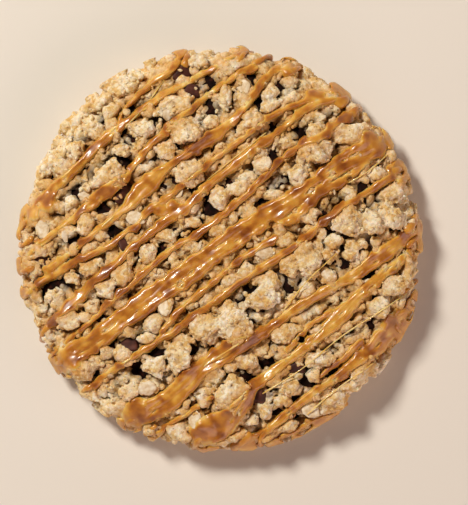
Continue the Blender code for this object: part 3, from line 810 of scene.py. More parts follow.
class Heap:
    """Collects many small shapes into the one mesh of a piece."""

    def __init__(self):
        self.points, self.faces, self.reliefs, self.count = [], [], [], 0

    def add(self, points, faces, relief=0.5):
        """Puts one shape, or many in one, onto the heap."""
        self.faces.append(faces + self.count)
        self.points.append(points)
        self.reliefs.append(np.broadcast_to(relief, len(points)))
        self.count += len(points)

    def surface(self):
        """All points and faces of the heap."""
        return np.concatenate(self.points), np.concatenate(self.faces)

    def fuse(self, voxel, most, solid, grain=GRAIN_HEIGHT, scar=SCAR_HEIGHT, smoothings=0):
        """Melts the heap into one skin, without what the solid buries, and notes its creases and crowns."""
        thing = plain_object(*self.surface())
        melt = thing.modifiers.new("melt", "REMESH")
        melt.mode = "VOXEL"
        melt.voxel_size = voxel
        points, faces, edges, normals = arrays_of(thing)
        points = held_in(roughened(averaged(points, edges, smoothings), normals, grain, scar))
        points, faces, edges, normals = thinned(*uncovered(points, faces, solid), most)
        raised = ((points - averaged(points, edges, CREASE_REACH)) * normals).sum(axis=1)
        relief = np.clip(0.5 + raised / CREASE_DEPTH, 0.0, 1.0)
        self.points, self.faces, self.reliefs, self.count = [points], [faces], [relief], len(points)

    def marks(self, pour):
        """What the crumb's material reads: creases, for painted shade in them, low places, where chocolate
        soaks in and painted shade falls, and where caramel soaks in.
        """
        place = self.surface()[0]
        radius = np.hypot(place[:, 0], place[:, 1])
        above = place[:, 2] - np.array([dough_height(reach) for reach in radius])
        inner = np.clip((SOAK_SHADE_REACH - radius) / SOAK_SHADE_EDGE, 0.0, 1.0)
        # Low crumb darkens: chocolate soaks it, and painted shade stands for the shade between the nuggets
        soaked = np.clip((SOAK_SHADE_TOP - above) / SOAK_SHADE_DEPTH, 0.0, 1.0) * inner * SOAK_AND_SHADE
        foot = np.clip((FOOT_TOP - place[:, 2]) / FOOT_DEPTH, 0.0, 1.0) * FOOT_SOAK
        creases = np.concatenate(self.reliefs)
        return {"relief": creases, "soaked": np.maximum(soaked, foot), "glaze": pour.glaze(place)}

    def make(self, name, material, marks=None):
        """The heap as a piece of the scene."""
        return mesh_object(name, *self.surface(), material, marks)


def dough_height(radius):
    """Height of the bare dough at this distance from the centre."""
    inward = max(0.0, 1.0 - (min(radius, DOUGH_RADIUS) / DOUGH_RADIUS) ** DOUGH_SQUARENESS)
    return WIDEST_AT + (DOUGH_HEIGHT - WIDEST_AT) * math.sqrt(inward)


def dough_profile(share):
    """Radius and height of the dough, by share: 0 is the top middle, 1 the widest line, 2 the underside's."""
    if share <= 1.0:
        radius = DOUGH_RADIUS * math.sqrt(share)
        return radius, dough_height(radius)
    below = (share - 1.0) / WALL_SHARE
    if below <= 1.0:
        return DOUGH_RADIUS + (UNDERSIDE_RADIUS - DOUGH_RADIUS) * below ** 2, WIDEST_AT * (1.0 - below)
    return UNDERSIDE_RADIUS * math.sqrt((2.0 - share) / (1.0 - WALL_SHARE)), 0.0


def bulge(place):
    """How high the dough bulges here, as a share of a bump's height."""
    return BUMP_MIDDLE - to_cell(place, BUMP_SPACING)


def knobs(place):
    """How far baked crumble stands out here, and its relief: 0 in a crease, 1 on a crown."""
    knob = max(0.0, 1.0 - to_cell(place, KNOB_SPACING) ** 2 / 0.7)
    grain = 1.0 - min(1.0, to_cell(place, GRAIN_SPACING))
    return KNOB_HEIGHT * (knob - 0.6) + GRAIN_HEIGHT * (grain - 0.5), 0.6 * knob + 0.4 * grain


def make_dough():
    """The baked disc under the crumble: a sphere's even triangles drawn out, grainy above and flat below."""
    directions, faces = ball(DOUGH_DETAIL)
    points, reliefs = [], []
    for x, y, z in directions:
        radius, height = dough_profile(1.0 - z)
        place = Vector(at(radius, math.atan2(y, x), height))
        relief = 0.5
        if height > 0.0:
            rough, relief = knobs(place)
            outward = Vector((place.x / DOUGH_RADIUS, place.y / DOUGH_RADIUS, 1.0))
            if height < KNOBS_UPRIGHT_ABOVE:
                knob = Vector((place.x, place.y, 0.0)).normalized() * rough * KNOBS_ON_DOUGH
            else:
                knob = Vector((0.0, 0.0, KNOBS_ON_DOUGH * rough))
            fade = min(1.0, height / BUMPS_FULL_AT)
            place += outward * BUMP_HEIGHT * bulge(place) * fade
            place += knob * fade
        points.append(place)
        reliefs.append(relief)
    heap = Heap()
    heap.add(np.array(points), faces, np.array(reliefs))
    return heap


def make_bed():
    """Melted chocolate, painted near black as the gaps' shade, that shows in the deep gaps: high there, and
    under the dough's skin elsewhere.
    """
    directions, faces = ball(BED_DETAIL)
    points = []
    for x, y, z in directions:
        radius = BED_RADIUS * math.sqrt(max(0.0, 1.0 - abs(z)))
        place = Vector(at(radius, math.atan2(y, x), dough_height(radius)))
        # The bed rises only in the gaps, so its near-black colour paints their shade
        rise = BED_RISE if in_gap(place.x, place.y, BED_SPREAD) else BED_SUNK
        place.z += BUMP_HEIGHT * bulge(place) + (rise if z > 0.0 else BED_FOOT)
        points.append(place)
    heap = Heap()
    heap.add(np.array(points), faces)
    return heap


def granule_shapes(rng):
    """Shapes for the grains of baked crumble: twenty-faced stones with their corners knocked about."""
    points = BALLS[1][0]
    return np.stack([
        points * rng.uniform(0.7, 1.3, (len(points), 1)) * rng.uniform(0.7, 1.2, 3)
        for shape in range(GRANULE_SHAPES)
    ])


def strewn(granules, seats, radii, rng):
    """A granule of some shape at each seat, turned some way or other: all their points and faces."""
    shapes = granules[rng.integers(len(granules), size=len(seats))] * radii[:, None, None]
    grains = shapes @ random_turns(len(seats), rng) + seats[:, None, :]
    steps = np.arange(len(seats))[:, None, None] * grains.shape[1]
    return grains.reshape(-1, 3), (BALLS[1][1][None] + steps).reshape(-1, 3)


def broken_block(rng, sharpness=BLOCK_SHARPNESS):
    """How far a broken block reaches each way: flat faces all round, with worn edges between them."""
    facings = spread_directions(BLOCK_FACES, rng)
    nearness = rng.uniform(BLOCK_NEAREST, BLOCK_FARTHEST, BLOCK_FACES)

    def reach(ways):
        towards = np.clip(ways @ facings.T, 0.0, None) / nearness
        return ((towards ** sharpness).sum(axis=1) ** (-1.0 / sharpness))[:, None]

    return reach


def nugget(heap, place, size, turn, rng, granules):
    """One nugget of crumble: a broken block with angular granules pressed all over it."""
    half = np.array(size) / 2
    turning = np.array(turned(turn, NUGGET_TILT, rng)).T
    sample = Vector(rng.uniform(-SAMPLE_REACH, SAMPLE_REACH, 3))
    block = broken_block(rng)

    def out_of_round(ways):
        warp = [LUMP_WARP * noise.noise(Vector(way) * 1.3 + sample) for way in ways]
        return block(ways) * (1.0 + np.array(warp)[:, None])

    core, faces = BALLS[3]
    heap.add(NUGGET_CORE * core * half * out_of_round(core) @ turning + place, faces)
    area = 4.0 * math.pi * (half[0] * half[1] * half[2]) ** (2 / 3)
    ways = spread_directions(max(8, round(area / GRANULE_SPACING ** 2)), rng)
    ways = ways[ways[:, 2] > GRANULES_ABOVE]
    smallest, largest = GRANULE_RADIUS
    radii = smallest * (min(largest, 0.4 * min(size)) / smallest) ** (rng.random(len(ways)) ** 1.6)
    seats = ways * (half * out_of_round(ways) - GRANULE_SEAT * radii[:, None])
    grains, faces = strewn(granules, seats, radii, rng)
    heap.add(grains @ turning + place, faces)


def add_named_nuggets(heap, rows, proud, rng, granules):
    """The nuggets that can be told apart in the photograph."""
    for x, y, length, width, turn in rows:
        size = [NUGGET_SCALE * side for side in (length, width, NUGGET_FLATNESS * width)]
        height = dough_height(math.hypot(x, y)) + proud * size[2]
        nugget(heap, (x, y, height), size, turn, rng, granules)


def in_gap(x, y, margin):
    """Whether a dark gap, widened all round by the margin, holds this place."""
    return any(
        ((x - gap_x) / (width / 2 + margin)) ** 2 + ((y - gap_y) / (height / 2 + margin)) ** 2 < 1.0
        for gap_x, gap_y, width, height in GAPS
    )


def add_fill(heap, rng, granules):
    """Small nuggets between the named ones, thrown until there is no room, and never into a gap."""
    named = LARGE_NUGGETS + MEDIUM_NUGGETS
    taken = [(x, y, NAMED_ROOM * (length + width)) for x, y, length, width, turn in named]
    smallest, largest = FILL_SIZE
    made = 0
    for attempt in range(FILL_TRIES):
        size = largest - (largest - smallest) * min(1.0, 1.5 * made / FILL_COUNT)
        radius, x, y = somewhere(FILL_REACH, rng)
        if in_gap(x, y, FILL_OVER_GAP * size):
            continue
        if any(
            (x - far_x) ** 2 + (y - far_y) ** 2 < (FILL_ROOM * (reach + 0.5 * size)) ** 2
            for far_x, far_y, reach in taken
        ):
            continue
        taken.append((x, y, 0.5 * size))
        sides = (size * rng.uniform(1.0, 1.4), size * rng.uniform(0.8, 1.05), size * FILL_FLATNESS)
        height = dough_height(radius) + rng.uniform(*FILL_DEPTH)
        nugget(heap, (x, y, height), sides, rng.uniform(0, 180), rng, granules)
        made += 1
        if made == FILL_COUNT:
            break


def add_carpet(heap, rng, granules):
    """Loose granules all over the dough, which fill in between the nuggets."""
    reach = CARPET_REACH * np.sqrt(rng.random(CARPET_GRANULES))
    around = rng.uniform(0.0, FULL_TURN, CARPET_GRANULES)
    smallest, largest = CARPET_RADIUS
    radii = smallest * (largest / smallest) ** (rng.random(CARPET_GRANULES) ** 1.5)
    seats = []
    for radius, angle in zip(reach, around):
        place = Vector(at(radius, angle, dough_height(radius)))
        place.z += BUMP_HEIGHT * bulge(place)
        place.z += rng.uniform(*CARPET_DEPTH)
        seats.append(place)
    clear = np.array([not in_gap(seat.x, seat.y, CARPET_OFF_GAP) for seat in seats])
    heap.add(*strewn(granules, np.array(seats)[clear], radii[clear], rng))


def add_wall(heap, rng, granules):
    """The rough side: lumps set into the wall all the way round and from the foot to the top."""
    for number in range(WALL_LUMPS):
        around = FULL_TURN * (number * GOLDEN_SHARE % 1.0)
        length = rng.uniform(*WALL_LUMP_LENGTH)
        height = rng.uniform(*WALL_LUMP_HEIGHTS)
        inset = WALL_LUMP_RADIUS - 0.5 * (length - WALL_LUMP_LENGTH[0])
        inset -= WALL_BULGE * (height - WIDEST_AT) ** 2
        inset -= rng.uniform(*WALL_INSETS)
        size = [share * length for share in WALL_LUMP_SHARES]
        nugget(heap, at(inset, around, height), size, math.degrees(around), rng, granules)


def surface_of(*heaps):
    """One search tree over these heaps, for dropping things onto them."""
    points, faces, count = [], [], 0
    for heap in heaps:
        heap_points, heap_faces = heap.surface()
        points.append(heap_points)
        faces.extend((heap_faces + count).tolist())
        count += len(heap_points)
    return BVHTree.FromPolygons(np.concatenate(points).tolist(), faces)


def dropped(surface, x, y):
    """Where a thing dropped at x, y comes to lie, and the way that the surface faces there."""
    spot, normal = surface.ray_cast(Vector((x, y, 60.0)), Vector((0.0, 0.0, -1.0)))[:2]
    if spot is None:
        return Vector((x, y, 0.0)), Vector((0.0, 0.0, 1.0))
    return spot, normal


def add_flake(heap, spot, normal, turn, size, rng):
    """A rolled oat: an oval a few tenths thick, curled, with a groove along its middle and a nicked edge."""
    directions, faces = BALLS[4 if size[0] > 4.0 else 3]
    x, y, z = directions.T
    edge = np.array([
        sum((nick * noise.noise(Vector(way) * often + Vector(spot)) for nick, often in FLAKE_NICKS), 1.0)
        for way in directions
    ])
    across = x * edge * size[0] / 2
    along = y * edge * size[1] / 2
    width, depth = FLAKE_GROOVE
    groove = -depth * np.exp(-((along / width) ** 2)) * np.sign(z)
    lift = z * size[2] / 2 + rng.uniform(*FLAKE_CURL) * across ** 2 - FLAKE_BOW * along ** 2 + groove
    flat = np.stack([across, along, lift], axis=1)
    lean = Vector((0.0, 0.0, 1.0)).lerp(Vector(normal), FLAKE_LEAN).to_track_quat("Z", "Y").to_matrix()
    turning = np.array(lean @ Matrix.Rotation(math.radians(turn), 3, "Z"))
    heap.add(flat @ turning.T + np.array(spot) + [0.0, 0.0, FLAKE_LIFT], faces)


def add_flakes(heap, surface, rng):
    """Whole flakes where the photograph has them, and broken and split ones anywhere."""
    for x, y, turn in FLAKES:
        add_flake(heap, *dropped(surface, x, y), turn, FLAKE_SIZE, rng)
    for number in range(FLAKE_PIECES):
        spot, normal = dropped(surface, *somewhere(BITS_REACH, rng)[1:])
        whole = rng.uniform(*FLAKE_SHARES)
        split = rng.choice(FLAKE_SPLITS)
        size = [FLAKE_SIZE[0] * whole, FLAKE_SIZE[1] * whole * split, FLAKE_SIZE[2] * whole]
        add_flake(heap, spot, normal, rng.uniform(0, 180), size, rng)


def add_chips(heap, rng):
    """Chocolate pieces half sunk in the gaps."""
    ways, faces = BALLS[4]
    for x, y, turn in CHIPS:
        turning = np.array(turned(turn, CHIP_TILT, rng))
        chip = ways * broken_block(rng, CHIP_SHARPNESS)(ways) * np.array(CHIP_SIZE) / 2
        height = dough_height(math.hypot(x, y)) + CHIP_RISE
        heap.add(chip @ turning.T + [x, y, height], faces)


def add_crumb(heap, place, size, turn, rng):
    """A loose crumb: a small sphere warped out of round, then knobbled and grained."""
    directions, faces = BALLS[2]
    half = Vector(size) / 2
    sample = Vector([rng.uniform(-SAMPLE_REACH, SAMPLE_REACH) for axis in range(3)])
    turning = turned(turn, CRUMB_TILT, rng)
    reach = max(size)
    roughness = min(1.0, min(size) / 4.0)
    points, reliefs = [], []
    for x, y, z in directions:
        smooth = Vector((x * half.x, y * half.y, z * half.z))
        warp = LUMP_WARP * noise.noise(smooth * (2.2 / reach) + sample)
        warp += 0.6 * LUMP_WARP * noise.noise(smooth * (4.5 / reach) + sample)
        rough, relief = knobs(smooth + sample)
        outward = Vector((x / half.x, y / half.y, z / half.z)).normalized()
        points.append(turning @ (smooth * (1.0 + warp) + outward * rough * roughness))
        reliefs.append(relief)
    heap.add(np.array(points) + np.array(place), faces, np.array(reliefs))


def add_crumbs(heap, surface, rng):
    """Crumbs that came off the nuggets and lie on top."""
    for number in range(CRUMB_COUNT):
        radius, x, y = somewhere(BITS_REACH, rng)
        size = rng.uniform(*CRUMB_SIZE)
        spot = dropped(surface, x, y)[0]
        if in_gap(x, y, CRUMB_OFF_GAP) or spot.z < WIDEST_AT:
            continue
        sides = (size, size * rng.uniform(0.6, 0.9), size * 0.7)
        turn = rng.uniform(0, 180)
        # One number is passed over, because the crumbs' shapes depend on how many are drawn
        rng.random()
        add_crumb(heap, spot + Vector((0.0, 0.0, 0.15 * size)), sides, turn, rng)


def route_through(points, spacing):
    """Points along a smooth curve through the given rows of x, y and width."""
    points = [Vector(point) for point in points]
    ends = [2 * points[0] - points[1], *points, 2 * points[-1] - points[-2]]
    route = []
    for before, start, end, after in zip(ends, ends[1:], ends[2:], ends[3:]):
        count = max(1, round((end.xy - start.xy).length / spacing))
        bow = 2 * before - 5 * start + 4 * end - after
        twist = 3 * start - before - 3 * end + after
        for step in range(count):
            t = step / count
            route.append(start + 0.5 * t * (end - before + bow * t + twist * t * t))
    return [*route, points[-1]]


def heading(route, number):
    """The way that a route runs at one of its points."""
    ahead = Vector(route[min(number + 1, len(route) - 1)][:2]) - Vector(route[max(number - 1, 0)][:2])
    return ahead.normalized()


def blurred(field, times):
    """The grid's field with every point mixed with those around it, several times over."""
    for time in range(times):
        padded = np.pad(field, 1, mode="edge")
        rows = (padded[:-2] + 2 * padded[1:-1] + padded[2:]) / 4
        field = (rows[:, :-2] + 2 * rows[:, 1:-1] + rows[:, 2:]) / 4
    return field


def blurred_within(field, share, times):
    """The field blurred over the points whose share is 1, with nothing mixed in from the others."""
    return blurred(field * share, times) / np.maximum(blurred(share, times), 1e-3)


def four_around(field):
    """The sum of the four points beside each point of the grid."""
    padded = np.pad(field, 1)
    return padded[:-2, 1:-1] + padded[2:, 1:-1] + padded[1:-1, :-2] + padded[1:-1, 2:]


def rounded(share):
    """A round rise from 0 at an edge, where the share is 0, to 1 where it is 1."""
    return np.sqrt(np.clip(1.0 - (1.0 - share) ** 2, 0.0, 1.0))


# The four corners of every square of a grid, one way round
FIRST, LAST = slice(0, -1), slice(1, None)
CORNERS = ((FIRST, FIRST), (FIRST, LAST), (LAST, LAST), (LAST, FIRST))


class Pour:
    """The caramel as a sheet over a square grid: where it runs, how high it lies and how thick it is."""

    def __init__(self):
        self.line = np.arange(-POUR_REACH, POUR_REACH + POUR_GRID, POUR_GRID)
        self.x, self.y = np.meshgrid(self.line, self.line)
        self.weight, self.half, self.cap, self.streak = np.zeros((4, *self.x.shape))
        self.best = np.full_like(self.x, OUTSIDE)

    def lay_strand(self, number, points):
        """Lays a strand as rivulets side by side, which part and meet again along the way."""
        lanes = max(1, round(max(width for x, y, width in points) / RIVULET))
        for lane in range(lanes):
            beside = []
            for i, (x, y, width) in enumerate(points):
                ahead = heading(points, i)
                stray = RIVULET_STRAY * drift(i * 0.9, number * 2.7, lane * 5.1)
                offset = ((lane + 0.5) / lanes - 0.5) * width * (1.0 + stray * 0.5) * RIVULET_SPREAD
                share = width / lanes * (1.0 if lanes == 1 else RIVULET_OVERLAP + 0.6 * stray)
                beside.append((x + ahead.y * offset, y - ahead.x * offset, max(NARROWEST, share)))
            self.lay_rivulet(number + RIVULET_STEP * lane, beside)

    def lay_rivulet(self, number, points):
        """Lays one rivulet, by stamping a disc at each step along its route."""
        inside = np.full_like(self.x, OUTSIDE)
        half = np.ones_like(self.x)
        streak = np.zeros_like(self.x)
        route = route_through(points, STAMP_STEP)
        run = 0.0
        for i, (x, y, width) in enumerate(route):
            ahead = heading(route, i)
            run += STAMP_STEP
            swell = sum(most * drift(run / length, number * 5.3, layer) for most, length, layer in SWELLS)
            radius = 0.5 * max(width, NARROWEST) * (1.0 + swell)
            x += MEANDER * drift(run / MEANDER_LENGTH, number * 3.1, 7.0)
            y += MEANDER * drift(run / MEANDER_LENGTH, number * 3.1, 17.0)
            inward = min(1.0, (RIM_REACH - STAMP_OFF_RIM - radius) / max(math.hypot(x, y), 1.0))
            x, y = x * inward, y * inward
            reach = radius + STAMP_MARGIN
            window = tuple(slice(*np.searchsorted(self.line, (mid - reach, mid + reach))) for mid in (y, x))
            dx = self.x[window] - x
            dy = self.y[window] - y
            depth = radius - np.hypot(dx, dy)
            across = dx * ahead.y - dy * ahead.x + STREAK_STEP * number
            nearer = depth > inside[window]
            for field, value in ((inside, depth), (half, radius), (streak, across)):
                np.copyto(field[window], value, where=nearer)
        rise = np.minimum(half, RIVULET_RISE + 0.2 * (half - RIVULET_RISE))
        self.cap += np.expm1(rise * rounded(np.clip(inside / half, 0.0, 1.0)) / RIVULET_MERGE)
        weight = np.where(inside < -STAMP_MARGIN, 0.0, np.exp(inside / POUR_MERGE))
        self.weight += weight
        self.half += weight * half
        self.streak = np.where(inside > self.best, streak, self.streak)
        self.best = np.maximum(inside, self.best)

    def find_edge(self):
        """How far inside the caramel each point lies: its edge wavers, leaves holes and ends at the rim."""
        wobble = np.array([
            drift(x / 1.7, y / 1.7, 3.0) + 0.5 * drift(x / 0.8, y / 0.8, 9.0)
            for x, y in zip(self.x.ravel(), self.y.ravel())
        ]).reshape(self.x.shape)
        edge = POUR_MERGE * np.log(self.weight + TINY) + EDGE_WOBBLE * wobble
        for x, y, width in HOLES:
            edge = np.minimum(edge, np.hypot(self.x - x, self.y - y) - 0.5 * width)
        rim = RIM_REACH - SHEET_OFF_RIM - np.hypot(self.x, self.y) + RIM_WOBBLE * blurred(wobble, 6)
        return np.minimum(edge, rim)

    def find_fall(self, ground, near):
        """The height that the sheet may have past the rim, where it bends over and falls."""
        radius = np.hypot(self.x, self.y)
        past = np.clip((radius - RIM_START) / (RIM_REACH - RIM_START), 0.0, 1.0)
        at_rim = float(np.median(blurred(ground, 10)[(np.abs(radius - RIM_START) < 1.0) & near]))
        bent = at_rim + RIM_LIFT - RIM_DROP * (1.0 - np.sqrt(1.0 - past ** 2))
        return np.where(past > 0.0, bent, NO_LIMIT)

    def settle(self, surface):
        """Draws the caramel into hollows and lets it sag onto the crumble like a skin under light tension."""
        edge = self.find_edge()
        near = edge > NEAR_CARAMEL
        share = near.astype(float)
        ground = np.zeros_like(self.x)
        for spot in zip(*np.nonzero(near)):
            ground[spot] = dropped(surface, self.x[spot], self.y[spot])[0].z
        hollow = blurred_within(ground, share, SURROUNDINGS) - blurred(ground, 4)
        edge += POUR_SPREAD * np.clip(hollow, -MOST_SPREAD, MOST_SPREAD) * near
        fall = self.find_fall(ground, near)
        rest = blurred(ground, 2)
        skin = np.where(near, rest, 0.0)
        many = np.maximum(four_around(share), 1.0)
        for time in range(POUR_SETTLINGS):
            stretched = four_around(skin) / many - POUR_SAG
            skin = np.where(near, np.maximum(rest, np.minimum(stretched, fall)), 0.0)
        even = blurred_within(skin, share, POUR_SMOOTHING)
        hang = np.clip((skin - rest) / HANG_HEIGHT, 0.0, 1.0)
        self.ground, self.level = ground, blurred(ground, 6)
        self.skin = np.where(near, np.minimum(even, fall), 0.0) - POUR_SINK
        self.edge = edge + EDGE_WIDENED - EDGE_DRAWN_IN * hang

    def glaze(self, place):
        """How much caramel wets each of these points: all of it under a strand, fading out just beside it."""
        columns, rows = [
            np.clip(np.searchsorted(self.line, place[:, axis]), 0, len(self.line) - 1) for axis in (0, 1)
        ]
        near = np.clip(1.0 + self.edge[rows, columns] / GLAZE_REACH, 0.0, 1.0)
        below = np.clip(1.0 - (self.level[rows, columns] - place[:, 2] - 1.0) / 2.0, 0.0, 1.0)
        return near * below

    def height_at(self, x, y):
        """The mean height of the sheet around this place, or the dough's where there is no sheet."""
        column, row = np.searchsorted(self.line, (x, y))
        around = self.skin[row - 3:row + 4, column - 3:column + 4]
        held = around[around > WIDEST_AT]
        return float(held.mean()) if len(held) else DOUGH_HEIGHT

    def combed(self, inside, width, length, layer):
        """A random pattern drawn out along the strands, so wide across them and so long along them."""
        pattern = np.zeros_like(self.x)
        for spot in zip(*np.nonzero(inside)):
            along = self.x[spot] + self.y[spot]
            pattern[spot] = drift(self.streak[spot] / width, along / length, layer)
        return pattern

    def make(self, name, material):
        """Top and bottom sheet in one closed mesh, with its border drawn onto the strand's edge."""
        inside = self.edge > 0.0
        cells = np.any([inside[corner] for corner in CORNERS], axis=0)
        used = np.zeros_like(inside)
        for corner in CORNERS:
            used[corner] |= cells
        border = used & ~inside
        slope_y, slope_x = np.gradient(self.edge, POUR_GRID)
        steep = np.maximum(slope_x ** 2 + slope_y ** 2, 0.25)
        x = self.x - np.where(border, self.edge * slope_x / steep, 0.0)
        y = self.y - np.where(border, self.edge * slope_y / steep, 0.0)

        half = self.half / np.maximum(self.weight, TINY)
        depth = np.clip(self.edge, 0.0, None)
        share = np.clip(depth / np.maximum(half, 0.2), 0.0, 1.0)
        dome = rounded(share)
        rivulets = blurred(RIVULET_MERGE * np.log1p(self.cap), 1)
        streaks, ridges = self.combed(inside, *STREAKS), self.combed(inside, *RIDGES)
        flow = np.minimum(1.0, 2.5 * share)
        fine = 1.0 / (1.0 + (np.clip(depth, 0.0, 3.0) / STREAK_FADE) ** 2)
        broad = RIDGE_CROWN * np.minimum(depth, RIDGE_DEEPEST)
        crown = CROWN * dome * np.minimum(half, THICKEST_HALF) ** 0.6
        crown += flow * (RIVULET_CROWN * rivulets + STREAK_CROWN * fine * streaks + broad * ridges)
        under = CROWN * dome * np.minimum(half, THICKEST_HALF) ** 0.5
        hug = HUG * (1.0 - np.minimum(1.0, depth / HUG_WIDTH))
        top = self.skin + crown - hug
        bottom = self.skin - under - hug

        from_rim = np.clip((RIM_START - np.hypot(x, y)) / RIM_FADE, 0.0, 1.0)
        filled = np.clip(top - blurred(self.ground, 3), 0.0, FILL_AT_RIM + FILL_INSIDE * from_rim)
        amber = FILL_AMBER * filled / 4.0 + SHEET_AMBER * (crown + under) / 2.0
        # Raised streaks and ridges are painted lighter and their hollows darker: painted highlight and
        # painted shade
        amber -= (STREAK_PAINTED_LIGHT * streaks * fine + RIDGE_PAINTED_LIGHT * ridges) * flow
        amber -= PALER
        amber = np.minimum(amber, AMBER_KNEE + AMBER_ROOM * np.tanh((amber - AMBER_KNEE) / AMBER_ROOM))

        number_top = np.full(used.shape, -1)
        number_top[used] = np.arange(used.sum())
        number_bottom = number_top.copy()
        number_bottom[inside] = used.sum() + np.arange(inside.sum())
        points = np.concatenate([
            np.stack([x[used], y[used], top[used]], axis=1),
            np.stack([x[inside], y[inside], bottom[inside]], axis=1),
        ])
        faces = np.concatenate([
            np.stack([number[corner][cells] for corner in CORNERS[::turn]], axis=1)
            for number, turn in ((number_top, 1), (number_bottom, -1))
        ])
        values = np.concatenate([amber[used], amber[inside]])
        return mesh_object(name, points, faces, material, {"depth": values})


def add_drip(heap, pour, number, end, before, length):
    """One drip: it bends over the rim, hangs down the wall and ends in a round drop."""
    x, y, width = end
    around = math.atan2(y, x)
    onward = Vector((x - before[0], y - before[1])).normalized()
    sideways = onward.dot(Vector((-math.sin(around), math.cos(around))))
    narrowest, widest = DRIP_WIDTHS
    half = 0.5 * min(widest, max(narrowest, DRIP_WIDENING * width))
    start = pour.height_at(*at(DRIP_START, around, 0.0)[:2])
    for step in range(DRIP_STEPS + 1):
        t = step / DRIP_STEPS
        run = t * (DRIP_BEND + length)
        bend = min(run / DRIP_BEND, 1.0) * QUARTER_TURN
        radius = DRIP_START + (DRIP_OUT - half) * math.sin(bend)
        height = start - (DRIP_DOWN * (1.0 - math.cos(bend)) + max(0.0, run - DRIP_BEND))
        waist = 0.35 * math.sin(math.pi * min(1.0, t * 1.15))
        drop = 0.18 * max(0.0, t - 0.8) / 0.2
        thick = half * (1.0 - waist + drop)
        angle = around + sideways * DRIP_SLANT / RIM_AROUND * (1.0 - math.exp(-run / 2.5))
        angle += 0.012 * math.sin(3.0 * t + number)
        place = np.array(at(radius, angle, max(height, DRIP_LOWEST)))
        heap.add(BALLS[2][0] * [thick, thick, 0.8 * thick] + place, BALLS[2][1])


def add_drips(heap, pour, rng):
    """A drip wherever the end of a strand reaches the rim."""
    for number, points in enumerate(STRANDS.values()):
        for end, before in ((points[0], points[1]), (points[-1], points[-2])):
            if math.hypot(*end[:2]) >= DRIP_FROM:
                add_drip(heap, pour, number, end, before, rng.uniform(*DRIP_LENGTHS))


def make_threads(surface, material):
    """Threads too fine for the sheet: thin tubes pulled taut from high spot to high spot."""
    curve = bpy.data.curves.new("threads", "CURVE")
    curve.dimensions = "3D"
    curve.bevel_depth = THREAD_RADIUS * MM
    curve.bevel_resolution = 1
    curve.use_fill_caps = True
    for points in THREADS:
        route = route_through([(x, y, 0.0) for x, y in points], THREAD_STEP)
        route = [spot.xy for spot in route if spot.xy.length < THREAD_REACH]
        lowest = [dropped(surface, x, y)[0].z + 0.3 for x, y in route]
        heights = list(lowest)
        for time in range(THREAD_TAUTNESS):
            for i in range(1, len(heights) - 1):
                heights[i] = max(lowest[i], 0.5 * (heights[i - 1] + heights[i + 1]) - POUR_SAG)
        line = curve.splines.new("POLY")
        line.points.add(len(route) - 1)
        for number, (point, (x, y), height) in enumerate(zip(line.points, route, heights)):
            point.co = (x * MM, y * MM, height * MM, 1.0)
            point.radius = 0.7 + 0.5 * drift(number / 4.0, points[0][0], 0.0)
    guide = in_scene("threads_guide", curve)
    mesh = bpy.data.meshes.new_from_object(guide.evaluated_get(bpy.context.evaluated_depsgraph_get()))
    bpy.data.objects.remove(guide, do_unlink=True)
    depth = mesh.attributes.new("depth", "FLOAT", "POINT")
    depth.data.foreach_set("value", [THREAD_AMBER] * len(mesh.vertices))
    mesh.shade_smooth()
    mesh.materials.clear()
    mesh.materials.append(material)
    return in_scene("caramel_threads", mesh)


def area_light(name, place, size, power, colour):
    """A soft lamp that faces the cookie."""
    light = bpy.data.lights.new(name, "AREA")
    light.shape = "RECTANGLE"
    light.size, light.size_y = size
    light.energy = power
    light.color = linear(colour)[:3]
    lamp = in_scene(name, light)
    lamp.location = place
    lamp.rotation_euler = (Vector((0, 0, 0.01)) - Vector(place)).to_track_quat("-Z", "Y").to_euler()


def set_stage():
    """A pale card, a soft key from the upper left, a broad reflector at the lower right, and a dim studio."""
    points = [(CARD_REACH * x, CARD_REACH * y, 0) for x, y in ((-1, -1), (1, -1), (1, 1), (-1, 1))]
    floor = mesh_object("floor", points, [(0, 1, 2, 3)], stage_card())
    area_light("key", *KEY)
    area_light("reflector", *REFLECTOR)
    world = bpy.data.worlds.new("studio")
    world.use_nodes = True
    tree = world.node_tree
    way = add_node(tree, "TexCoord").outputs["Generated"]
    upward = add_node(tree, "SeparateXYZ", {"Vector": way}).outputs["Z"]
    glow = add_node(
        tree, "ValToRGB", {"Fac": upward}, stops=((0.0, "#C9B4AA"), (0.35, "#84796F"), (0.8, "#3A3836")),
    ).outputs["Color"]
    tree.links.new(glow, tree.nodes["Background"].inputs["Color"])
    bpy.context.scene.world = world
    bpy.context.scene.view_settings.view_transform = "Standard"


def set_camera():
    """A camera straight above, far enough off for the photograph's nearly parallel view."""
    camera = bpy.data.cameras.new("camera")
    camera.sensor_fit = "VERTICAL"
    camera.sensor_height = 24.0
    camera.lens = camera.sensor_height * (CAMERA_HEIGHT - DOUGH_HEIGHT) / FRAME_HEIGHT
    camera.clip_end = 10.0
    eye = in_scene("camera", camera)
    eye.location = (FRAME_MIDDLE[0] * MM, FRAME_MIDDLE[1] * MM, CAMERA_HEIGHT * MM)
    bpy.context.scene.camera = eye


def finish_piece(piece):
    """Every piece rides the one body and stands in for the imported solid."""
    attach(piece, "root")
    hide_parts("cookie")


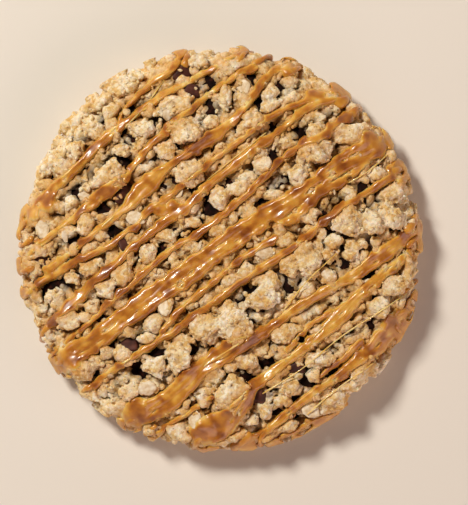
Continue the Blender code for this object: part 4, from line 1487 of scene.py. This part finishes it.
def main():
    """Lays the crumble, pours the caramel over it, makes the pieces and sets the stage."""
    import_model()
    rng, dice = random.Random(SEED), np.random.default_rng(SEED)
    crumb, oat, caramel = baked_oat_crumb(), rolled_oat(), set_caramel()

    dough, bed = make_dough(), make_bed()
    wall, carpet, fill, large, medium, chips, flakes, crumbs, drips = [Heap() for heap in range(9)]
    granules = granule_shapes(dice)
    add_named_nuggets(large, LARGE_NUGGETS, LARGE_PROUD, dice, granules)
    add_named_nuggets(medium, MEDIUM_NUGGETS, MEDIUM_PROUD, dice, granules)
    add_fill(fill, dice, granules)
    add_carpet(carpet, dice, granules)
    add_wall(wall, dice, granules)
    disc = surface_of(dough)
    large.fuse(*LARGE_SKIN, disc)
    medium.fuse(*MEDIUM_SKIN, disc)
    solid = surface_of(dough, large)
    fill.fuse(*FILL_SKIN, solid)
    carpet.fuse(*CARPET_SKIN, solid)
    wall.fuse(*WALL_SKIN, solid)
    add_chips(chips, dice)
    bare = surface_of(dough, bed, wall, carpet, fill, chips, large, medium)
    add_flakes(flakes, bare, rng)
    add_crumbs(crumbs, bare, rng)
    heaped = surface_of(dough, bed, wall, carpet, fill, chips, flakes, large, medium)

    pour = Pour()
    for number, points in enumerate(STRANDS.values()):
        pour.lay_strand(number, points)
    for x, y, width in POOLS:
        pour.lay_rivulet(len(STRANDS), ((x - POOL_HALF, y, width), (x + POOL_HALF, y, width)))
    pour.settle(heaped)
    add_drips(drips, pour, dice)
    drips.fuse(*DRIP_SKIN, disc, grain=0.0, scar=0.0, smoothings=4)

    pieces = [
        (dough.make("dough", crumb, dough.marks(pour)), "baked_crumb"),
        (bed.make("chocolate_and_shade_bed", chocolate_and_gap_shade()), "chocolate"),
        (carpet.make("fine_crumble", crumb, carpet.marks(pour)), "baked_crumb"),
        (wall.make("wall_crumble", crumb, wall.marks(pour)), "baked_crumb"),
        (fill.make("small_nuggets", crumb, fill.marks(pour)), "baked_crumb"),
        (large.make("large_nuggets", crumb, large.marks(pour)), "baked_crumb"),
        (medium.make("medium_nuggets", crumb, medium.marks(pour)), "baked_crumb"),
        (chips.make("chocolate_chips", chocolate_chunk()), "chocolate"),
        (flakes.make("oat_flakes", oat), "baked_crumb"),
        (crumbs.make("loose_crumbs", crumb, crumbs.marks(pour)), "baked_crumb"),
        (pour.make("caramel_drizzle", caramel), "caramel"),
        (drips.make("caramel_drips", caramel, {"depth": np.full(drips.count, DRIP_AMBER)}), "caramel"),
        (make_threads(heaped, caramel), "caramel"),
    ]
    for piece, slot in pieces:
        finish_piece(piece)
    set_stage()
    set_camera()


main()
